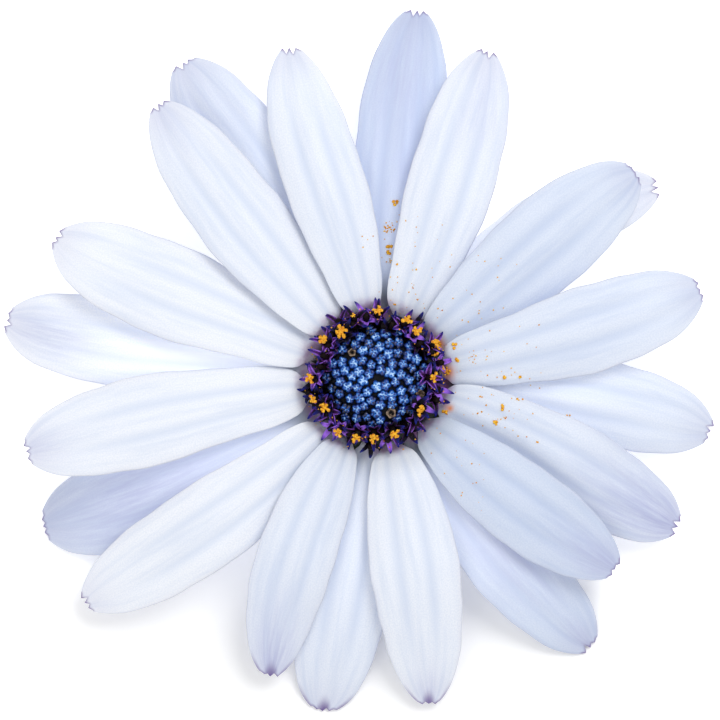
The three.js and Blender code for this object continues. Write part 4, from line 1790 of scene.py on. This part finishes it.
@dataclass
class Pollen:
    """Orange pollen: the starry heads of the ripe florets, and specks dropped on the rays.

    Attributes:
        arm_length: Of a head's arms.
        arm_width: The same, across.
        grain_radius: Of the grains that roughen the heads.
        grains_per_area: How many grains cover a square millimetre of a head.
        clumps: Specks on the rays: plan place, spread, count and greatest size of each group.
        sprinkle: How many single grains lie on the rays round the disc's sunny side.
        rim_grains: How many lie among the open florets.
        seed: For all of it.
    """

    arm_length: float = 0.62
    arm_width: float = 0.32
    grain_radius: float = 0.07
    grains_per_area: float = 26.0
    clumps: tuple[tuple[float, float, float, int, float], ...] = (
        (1.95, 17.7, 0.12, 5, 0.22), (1.4, 15.2, 0.28, 26, 0.11), (1.45, 13.4, 0.14, 7, 0.2),
        (1.3, 12.8, 0.12, 5, 0.2), (1.5, 12.0, 0.2, 6, 0.09), (2.6, 16.3, 0.5, 5, 0.07),
        (2.2, 11.6, 0.05, 1, 0.14), (4.0, 11.1, 0.05, 1, 0.12), (3.9, 9.4, 0.25, 4, 0.1),
        (4.5, 8.0, 0.2, 3, 0.12), (2.0, 7.6, 0.1, 3, 0.16), (-1.0, 14.2, 0.4, 4, 0.09),
        (12.9, 0.35, 0.08, 4, 0.24), (14.4, 0.35, 0.04, 2, 0.18), (12.8, -2.7, 0.14, 5, 0.24),
        (12.0, -4.15, 0.12, 5, 0.22), (14.2, -1.8, 0.2, 3, 0.15), (13.6, -1.9, 0.1, 1, 0.13),
        (10.6, -1.75, 0.25, 4, 0.15), (10.4, -3.15, 0.2, 3, 0.13), (12.8, -3.5, 0.7, 8, 0.1),
        (19.4, -3.5, 0.12, 2, 0.17), (16.3, -6.1, 0.1, 2, 0.15), (7.0, -3.05, 0.2, 6, 0.2),
        (8.0, 3.6, 0.12, 4, 0.2), (8.1, 2.1, 0.12, 4, 0.19), (9.7, 2.4, 0.45, 12, 0.09),
        (11.4, 5.05, 0.05, 1, 0.14), (16.2, 5.55, 0.05, 1, 0.13), (10.3, 6.7, 0.05, 1, 0.15),
        (6.05, 3.95, 0.16, 16, 0.2), (6.4, 3.4, 0.14, 12, 0.18),
        (5.95, 2.7, 0.12, 10, 0.18), (7.1, 1.0, 0.16, 16, 0.2), (6.5, 1.7, 0.12, 8, 0.18),
        (10.2, 12.6, 0.06, 1, 0.12), (12.5, 12.2, 0.06, 1, 0.13), (14.1, 11.6, 0.06, 1, 0.14),
    )
    sprinkle: int = 110
    rim_grains: int = 90
    seed: int = 9

    def build(self, heads: list[Place], catchers: list[Object]) -> None:
        """Build the heads and the specks.

        Args:
            heads: Where the ripe florets' columns end.
            catchers: The pieces that specks fall on.
        """
        random = default_rng(self.seed)
        skin = POLLEN_GRAIN.material()
        shapes = [self.head(random) for _ in range(VARIANT_COUNT)]
        stars = grown("pollen_heads", placed_tree(), shapes, heads, {"Finish": skin})
        coat = coated("pollen_coat", stars, self.grain(), self.grains_per_area, ANY_LIFT, self.seed, skin)
        hand_over(stars, Slot.POLLEN, "open_florets")
        hand_over(coat, Slot.POLLEN, "open_florets")
        places = self.speck_places(catchers, random)
        specks = grown("pollen_specks", placed_tree(), [self.grain()], places, {"Finish": skin})
        hand_over(specks, Slot.POLLEN)

    def grain(self) -> Shape:
        """Make a grain of pollen, as a ball of twenty faces.

        Returns:
            The grain, with its middle at the origin.
        """
        golden = (1 + math.sqrt(5)) / 2
        first = [(-1, golden, 0), (1, golden, 0), (-1, -golden, 0), (1, -golden, 0)]
        corners = first + [(z, x, y) for x, y, z in first] + [(y, z, x) for x, y, z in first]
        faces = [(0, 11, 5), (0, 5, 1), (0, 1, 7), (0, 7, 10), (0, 10, 11), (1, 5, 9), (5, 11, 4)]
        faces += [(11, 10, 2), (10, 7, 6), (7, 1, 8), (3, 9, 4), (3, 4, 2), (3, 2, 6), (3, 6, 8)]
        faces += [(3, 8, 9), (4, 9, 5), (2, 4, 11), (6, 2, 10), (8, 6, 7), (9, 8, 1)]
        points = np.array(corners, dtype=float)
        return Shape(points / np.linalg.norm(points[0]) * self.grain_radius, faces)

    def head(self, random: Generator) -> Shape:
        """Make the starry head of a ripe floret.

        Args:
            random: Where the arms' number, lengths and turns come from.

        Returns:
            Five or six blunt, uneven arms round a knob, flat side down, at the origin.
        """
        knob = turned(np.array([[0.12, -0.12], [0.24, -0.05], [0.26, 0.06], [0.14, 0.16]]), 10)
        parts = [knob]
        arms = int(random.integers(5, 7))
        for i in range(arms):
            length = self.arm_length * random.uniform(0.6, 1.15)
            girth = self.arm_width / 2 * random.uniform(0.7, 1.2)
            x = length * np.array([0.15, 0.4, 0.65, 0.88, 1.0])
            thick = girth * np.array([0.8, 0.6, 0.9, 1.0, 0.5]) * random.uniform(0.85, 1.15, 5)
            arm = turned(np.stack([thick, x], axis=-1), 8)
            arm.points[:, 0] += random.uniform(-0.5, 0.5) * arm.points[:, 2] ** 2
            tilt = math.radians(85 + random.uniform(-20, 15))
            turn = (i + random.uniform(-0.3, 0.3)) / arms * 2 * math.pi
            parts.append(arm.moved(Matrix.Rotation(turn, 4, "Z") @ Matrix.Rotation(tilt, 4, "Y")))
        return Shape.joined(parts)

    def speck_places(self, catchers: list[Object], random: Generator) -> list[Place]:
        """Drop specks from above onto the rays and the open florets.

        Args:
            catchers: The pieces that they fall on.
            random: Where the specks fall, and their sizes.

        Returns:
            A place for each speck that lands.
        """
        trees = [BVHTree.FromPolygons(*self.mesh_of(piece)) for piece in catchers]
        drops = [
            (x + random.normal(0, spread), y + random.normal(0, spread), size * random.uniform(0.35, 1))
            for x, y, spread, count, size in self.clumps
            for _ in range(count)
        ]
        for _ in range(self.sprinkle):
            x, y = polar(random.uniform(7.6, 17), random.uniform(-55, 95))
            drops.append((x, y, random.uniform(0.04, 0.09)))
        for _ in range(self.rim_grains):
            x, y = polar(random.uniform(5.3, 7.4), random.uniform(0, 360))
            drops.append((x, y, random.uniform(0.05, 0.11)))
        places = []
        for x, y, size in drops:
            hits = [tree.ray_cast(Vector((x * MM, y * MM, 0.05)), Vector((0, 0, -1)))[0] for tree in trees]
            tops = [hit for hit in hits if hit is not None]
            if tops:
                top = max(tops, key=lambda hit: hit.z)
                turn = Euler(tuple(random.uniform(0, 6, 3)))
                places.append(Place(np.array(top) / MM, turn, size / self.grain_radius))
        return places

    def mesh_of(self, piece: Object) -> tuple[list[Vector], list[tuple[int, ...]]]:
        """Give a piece's points and faces, as a search tree takes them."""
        mesh = piece.data
        return [v.co for v in mesh.vertices], [tuple(p.vertices) for p in mesh.polygons]


# ---------------- involucre


@dataclass
class Involucre:
    """The green cup under the head, with the scar where the stalk was, and two rows of bracts.

    Attributes:
        cup: The receptacle's outside, as radius and height, from the scar up.
        lines: The line of each row of bracts up the cup and out under the rays.
        bracts_per_row: How many bracts a row has.
        bract_width: The greatest width of one.
        bract_thickness: Of a bract's rib; its margins are thinner.
        hair_length: Of the short hairs on the bracts.
        hairs_per_area: How many hairs stand on a square millimetre.
        seed: For the hairs and the bracts' differences.
    """

    cup: tuple[tuple[float, float], ...] = (
        (2.2, 0.0), (2.4, 0.5), (3.3, 1.4), (4.7, 2.6), (6.0, 3.8), (6.8, 4.6), (6.8, 5.0),
    )
    lines: tuple[tuple[tuple[float, float], ...], ...] = (
        ((2.3, 0.75), (4.2, 1.9), (6.6, 3.7), (8.8, 4.35), (11.6, 3.95)),
        ((2.4, 0.9), (4.3, 2.4), (6.5, 4.15), (8.6, 4.8), (11.0, 4.5)),
    )
    bracts_per_row: int = 8
    bract_width: float = 3.3
    bract_thickness: float = 0.6
    hair_length: float = 0.35
    hairs_per_area: float = 1.6
    seed: int = 13

    def build(self) -> None:
        """Build the cup, the bracts and their hairs."""
        skin = BractSkin().material()
        random = default_rng(self.seed)
        cup = self.receptacle().to_object("involucre_cup", skin)
        hand_over(cup, Slot.GREEN_BRACT, "involucre")
        parts = []
        for row, line in enumerate(self.lines):
            for i in range(self.bracts_per_row):
                azimuth = (i + 0.5 * row) / self.bracts_per_row * 2 * math.pi + random.uniform(-0.03, 0.03)
                parts.append(self.bract(line, random).moved(Matrix.Rotation(azimuth, 4, "Z")))
        bracts = Shape.joined(parts).to_object("involucre_bracts", skin)
        hand_over(bracts, Slot.GREEN_BRACT, "involucre")
        skin = BRACT_HAIR.material()
        hairs = coated("bract_hairs", bracts, self.hair(), self.hairs_per_area, 0.0, self.seed, skin)
        hand_over(hairs, Slot.GREEN_BRACT, "involucre")

    def receptacle(self) -> Shape:
        """Make the solid cup, closed by the flat scar below and the floor of the disc above.

        Returns:
            The cup, with the values rib, margin and inner, the last its painted shade under the disc.
        """
        rows = np.array(self.cup)
        steps = np.linspace(0, len(rows) - 1, 37)
        radius = np.interp(steps, np.arange(len(rows)), rows[:, 0])
        height = np.interp(steps, np.arange(len(rows)), rows[:, 1])
        seat = np.array([[6.78, 5.28], [6.4, 5.29], [4.0, 5.29]])
        scar = np.array([[1.2, 0.0]])
        profile = np.concatenate([scar, np.stack([radius, height], axis=-1), seat])
        up = np.clip(profile[:, 1] / 5.0, 0, 1)
        # The cup's top, under the disc, is darkened as painted shade.
        values = {
            "rib": 0.4 * smoothstep(0.5, 0.0, up), "margin": 0.7 * (up == 0),
            "inner": 0.95 * smoothstep(5.1, 5.25, profile[:, 1]),
        }
        shape = turned(profile, 96, values)
        waist = smoothstep(0.2, 1.5, shape.points[:, 2]) * smoothstep(4.6, 4.0, shape.points[:, 2])
        shape.flute(0.012 * waist, 2 * self.bracts_per_row)
        return shape

    def bract(self, line: tuple[tuple[float, float], ...], random: Generator) -> Shape:
        """Make one bract, pointing along +X.

        Args:
            line: Radius and height along its middle.
            random: Where its width and length differ from the next.

        Returns:
            The bract, with the values rib, margin, stain and inner, the last the painted shade of its upper
            face.
        """
        knots = np.array(line)
        s = np.linspace(0, 1, 19)
        u = np.linspace(-1, 1, 9)
        steps = np.linspace(0, 1, len(knots))
        radius = through(list(zip(steps, knots[:, 0])), s)
        height = through(list(zip(steps[:4], knots[:4, 1])) + [(1.0, knots[4, 1])], s)
        half = self.bract_width / 2 * random.uniform(0.92, 1.0) * through(
            [(0, 0.5), (0.35, 1), (0.6, 0.85), (0.85, 0.42), (1, 0.08)], s
        )
        across = np.abs(u)[None, :]
        rib = bell(across, 0.16)
        raised = height[:, None] + 0.25 * across**2 * s[:, None]
        grid = np.broadcast_arrays(radius[:, None], half[:, None] * u[None, :], raised)
        upper = np.stack(grid, axis=-1)
        thick = self.bract_thickness * (0.35 + 0.35 * (1 - across**2) + 0.3 * rib)
        lower = upper - face_normals(upper) * (thick * (1 - 0.5 * s[:, None]))[..., None]
        ones = np.ones_like(s)[:, None]
        # The upper face, which lies against the rays, is darkened as painted shade.
        return blade(
            upper, lower,
            {
                "rib": 0.7 * rib * ones, "margin": 0.8 * across**8 * smoothstep(0.1, 0.4, s)[:, None],
                "stain": 0.75 * smoothstep(0.82, 1.0, s)[:, None] * np.ones_like(across),
                "inner": 0.97 * np.array([1.0, 0.0])[:, None, None] * np.ones_like(across),
            },
        )

    def hair(self) -> Shape:
        """Make a hair, as a three-sided spike along +Z."""
        profile = np.array([[0.028, 0.0], [0.016, self.hair_length * 0.6], [0.004, self.hair_length]])
        return turned(profile, 3)


# ---------------- studio


@dataclass(frozen=True)
class Softbox:
    """A round soft light that faces the head.

    Attributes:
        name: Its name.
        azimuth: Where it stands, in degrees.
        elevation: How high, in degrees.
        share: How bright it makes a white floor, where 1 is white.
        size: Its width.
    """

    name: str
    azimuth: float
    elevation: float
    share: float
    size: float


@dataclass
class Studio:
    """A white floor, soft lights and a camera that looks straight down.

    Attributes:
        floor_span: The floor's side.
        floor_gap: How far it lies under the scar.
        softboxes: The lights that stand round the head.
        distance: From the head to each of them.
        sky_share: The share of the light that comes from all round.
        lens: The camera's focal length.
        sensor: The width of its sensor.
        framed: How much of the plane at the rays' height the view spans.
        plane: That plane's height.
        aim: The plan place in the middle of the view.
    """

    floor_span: float = 4000.0
    floor_gap: float = 0.02
    softboxes: tuple[Softbox, ...] = (
        Softbox("key", 54.0, 54.0, 0.36, 420.0), Softbox("fill", 235.0, 40.0, 0.16, 700.0)
    )
    distance: float = 700.0
    sky_share: float = 0.66
    lens: float = 600.0
    sensor: float = 36.0
    framed: float = 72.0
    plane: float = 4.0
    aim: tuple[float, float] = (-1.5, 2.1)

    def build(self) -> None:
        """Build all of it."""
        self.floor()
        self.sky()
        for softbox in self.softboxes:
            self.light(softbox)
        self.camera()
        bpy.context.scene.view_settings.view_transform = "Standard"

    def floor(self) -> None:
        """Lay the floor just under the scar."""
        half = self.floor_span / 2
        corners = np.array([[-half, -half], [half, -half], [half, half], [-half, half]])
        points = np.concatenate([corners, np.full((4, 1), -self.floor_gap)], axis=-1)
        finish = LightTable().material()
        Shape(points, [(0, 1, 2, 3)]).to_object("studio_floor", finish)

    def sky(self) -> None:
        """Light the scene evenly from all round."""
        world = bpy.data.worlds.new("studio")
        world.use_nodes = True
        tree = world.node_tree
        tree.nodes.clear()
        light = {"Color": linear("#FDFDFD"), "Strength": self.sky_share}
        shine = add_node(tree, "ShaderNodeBackground", light)
        add_node(tree, "ShaderNodeOutputWorld", {"Surface": shine})
        bpy.context.scene.world = world

    def light(self, softbox: Softbox) -> None:
        """Stand a soft light that faces the head.

        Args:
            softbox: The light.
        """
        rise = math.radians(softbox.elevation)
        plan = polar(self.distance * math.cos(rise), softbox.azimuth)
        spot = Vector((plan[0], plan[1], self.distance * math.sin(rise))) * MM
        data = bpy.data.lights.new(softbox.name, "AREA")
        data.shape = "DISK"
        data.size = softbox.size * MM
        data.energy = softbox.share * math.pi**2 * (self.distance * MM) ** 2 / math.sin(rise)
        lamp = bpy.data.objects.new(softbox.name, data)
        lamp.location = spot
        lamp.rotation_euler = (-spot).to_track_quat("-Z", "Y").to_euler()
        bpy.context.scene.collection.objects.link(lamp)

    def camera(self) -> None:
        """Hang the camera over the head, with +Y up in the view."""
        data = bpy.data.cameras.new("camera")
        data.lens = self.lens
        data.sensor_width = self.sensor
        data.clip_start = 0.01
        data.clip_end = 20.0
        above = self.framed * self.lens / self.sensor
        camera = bpy.data.objects.new("camera", data)
        camera.location = Vector((self.aim[0], self.aim[1], self.plane + above)) * MM
        bpy.context.scene.collection.objects.link(camera)
        bpy.context.scene.camera = camera


# ---------------- the flower head

# Per ray, cool, lit and shaded are painted shade and a painted glow, and blush and withered are partly
# painted shade.
RAYS = [
    RayFloret(
        83.5, 83.5, 37.55, 81, 8.9, 0.55, 6.1, 6.4, RESTS, 0, 0.9,
        ((0.78, 0.2, 4.0, 0.7), (0.55, 0.0, 5.0, 0.4)), lit=0.12, shaded=0.6,
    ),
    RayFloret(66, 71.2, 34.9, 75, 8.7, 0.53, 7.35, 8.4, 5.0, 10, 0.2, ((0.82, -0.3, 3.0, 0.4),)),
    RayFloret(49, 34.3, 34.4, 12, 7.4, 0.6, 6.05, 6.3, 3.0, 0, 0.0, lit=0.17, shaded=0.6),
    RayFloret(36, 38.6, 33.5, 34, 9.5, 0.53, 7.45, 8.4, 6.0, 15, 0.6, shaded=0.12, toothed=0.5),
    RayFloret(12, 15.8, 33.9, 23, 8.8, 0.57, 7.65, 8.7, 6.0, 14, 0.45, shaded=0.12),
    RayFloret(-2, -8.6, 34.25, -18, 8.6, 0.58, 6.1, 6.2, RESTS, 0, 0.4, lit=0.17, shaded=0.95),
    RayFloret(
        -17, -25.8, 33.8, -26, 8.8, 0.57, 7.35, 7.6, 2.2, 12, 0.4, ((0.92, 0.0, 4.5, 1.0),),
        shaded=0.12,
    ),
    RayFloret(
        -42, -38.0, 30.7, -32, 8.5, 0.52, 7.6, 8.6, 4.6, 13, 0.75, ((0.93, 0.0, 3.0, 0.8),),
        shaded=0.3,
    ),
    RayFloret(
        -57, -51.0, 34.5, -46, 8.4, 0.58, 6.1, 6.1, RESTS, 0, 0.75,
        ((0.97, 0.0, 2.0, 0.6), (0.5, 0.4, 4.5, 0.9)), lit=0.22, tip_stain_and_shade=0.3, shaded=0.7,
    ),
    RayFloret(
        -76, -80.5, 32.95, -86, 8.9, 0.46, 7.4, 7.9, 1.2, 0, 0.15, ((0.97, 0.0, 2.0, 0.4),),
        tip_stain_and_shade=0.85, shaded=0.25, toothed=0.4,
    ),
    RayFloret(
        -96, -99.0, 33.6, -100, 8.8, 0.6, 6.1, 6.0, RESTS, 0, 0.35,
        lit=0.1, tip_stain_and_shade=0.9, shaded=0.2, toothed=0.55,
    ),
    RayFloret(
        -117, -109.5, 31.4, -95, 7.9, 0.48, 7.6, 8.2, 2.6, -13, 0.3, ((0.95, 0.0, 3.5, 0.8),),
        tip_stain_and_shade=0.85, shaded=0.12, toothed=0.4,
    ),
    RayFloret(-135, -142.6, 36.7, -149, 8.8, 0.54, 7.25, 8.0, 2.6, -14, 0.0),
    RayFloret(
        -151, -156.4, 36.5, -167, 9.8, 0.64, 6.1, 6.2, RESTS, 0, 0.6, ((0.65, 0.0, 6.0, 0.9),),
        lit=0.25, shaded=0.35, toothed=0.5,
    ),
    RayFloret(-172, -168.5, 35.75, -164, 9.1, 0.58, 7.3, 8.6, 6.4, 0, 0.0, ((0.95, 0.0, 2.5, 0.4),)),
    RayFloret(
        170, 170.6, 37.5, 165, 8.8, 0.64, 6.1, 6.8, 4.6, 0, 0.0, ((0.86, 0.1, 2.6, 0.6),),
        lit=0.36, shaded=0.3,
    ),
    RayFloret(154, 155.7, 35.0, 150, 9.5, 0.57, 7.2, 8.6, 6.8, 13, 0.0),
    RayFloret(130, 128.1, 35.2, 123, 8.8, 0.5, 7.7, 8.8, 6.0, 13, 0.15, ((0.93, 0.2, 3.0, 0.3),)),
    RayFloret(
        114, 121.2, 37.4, 123, 9.2, 0.6, 6.1, 6.3, 4.0, 0, 0.35, ((0.85, 0.0, 4.0, 0.3),),
        lit=0.14, shaded=0.7,
    ),
    RayFloret(100, 104.4, 34.45, 98, 8.2, 0.52, 7.65, 8.5, 5.4, 10, 0.2),
]


def main() -> None:
    """Load the frame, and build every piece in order."""
    logging.basicConfig(level=logging.INFO, format="%(name)s: %(message)s")
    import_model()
    Studio().build()
    Involucre().build()
    rays = RayFlorets(RAYS)
    rays.build()
    ClosedFlorets().build()
    open_florets = OpenFlorets()
    open_florets.build()
    Pollen().build(open_florets.heads, [*rays.pieces, open_florets.corollas])


if __name__ == "__main__":
    main()
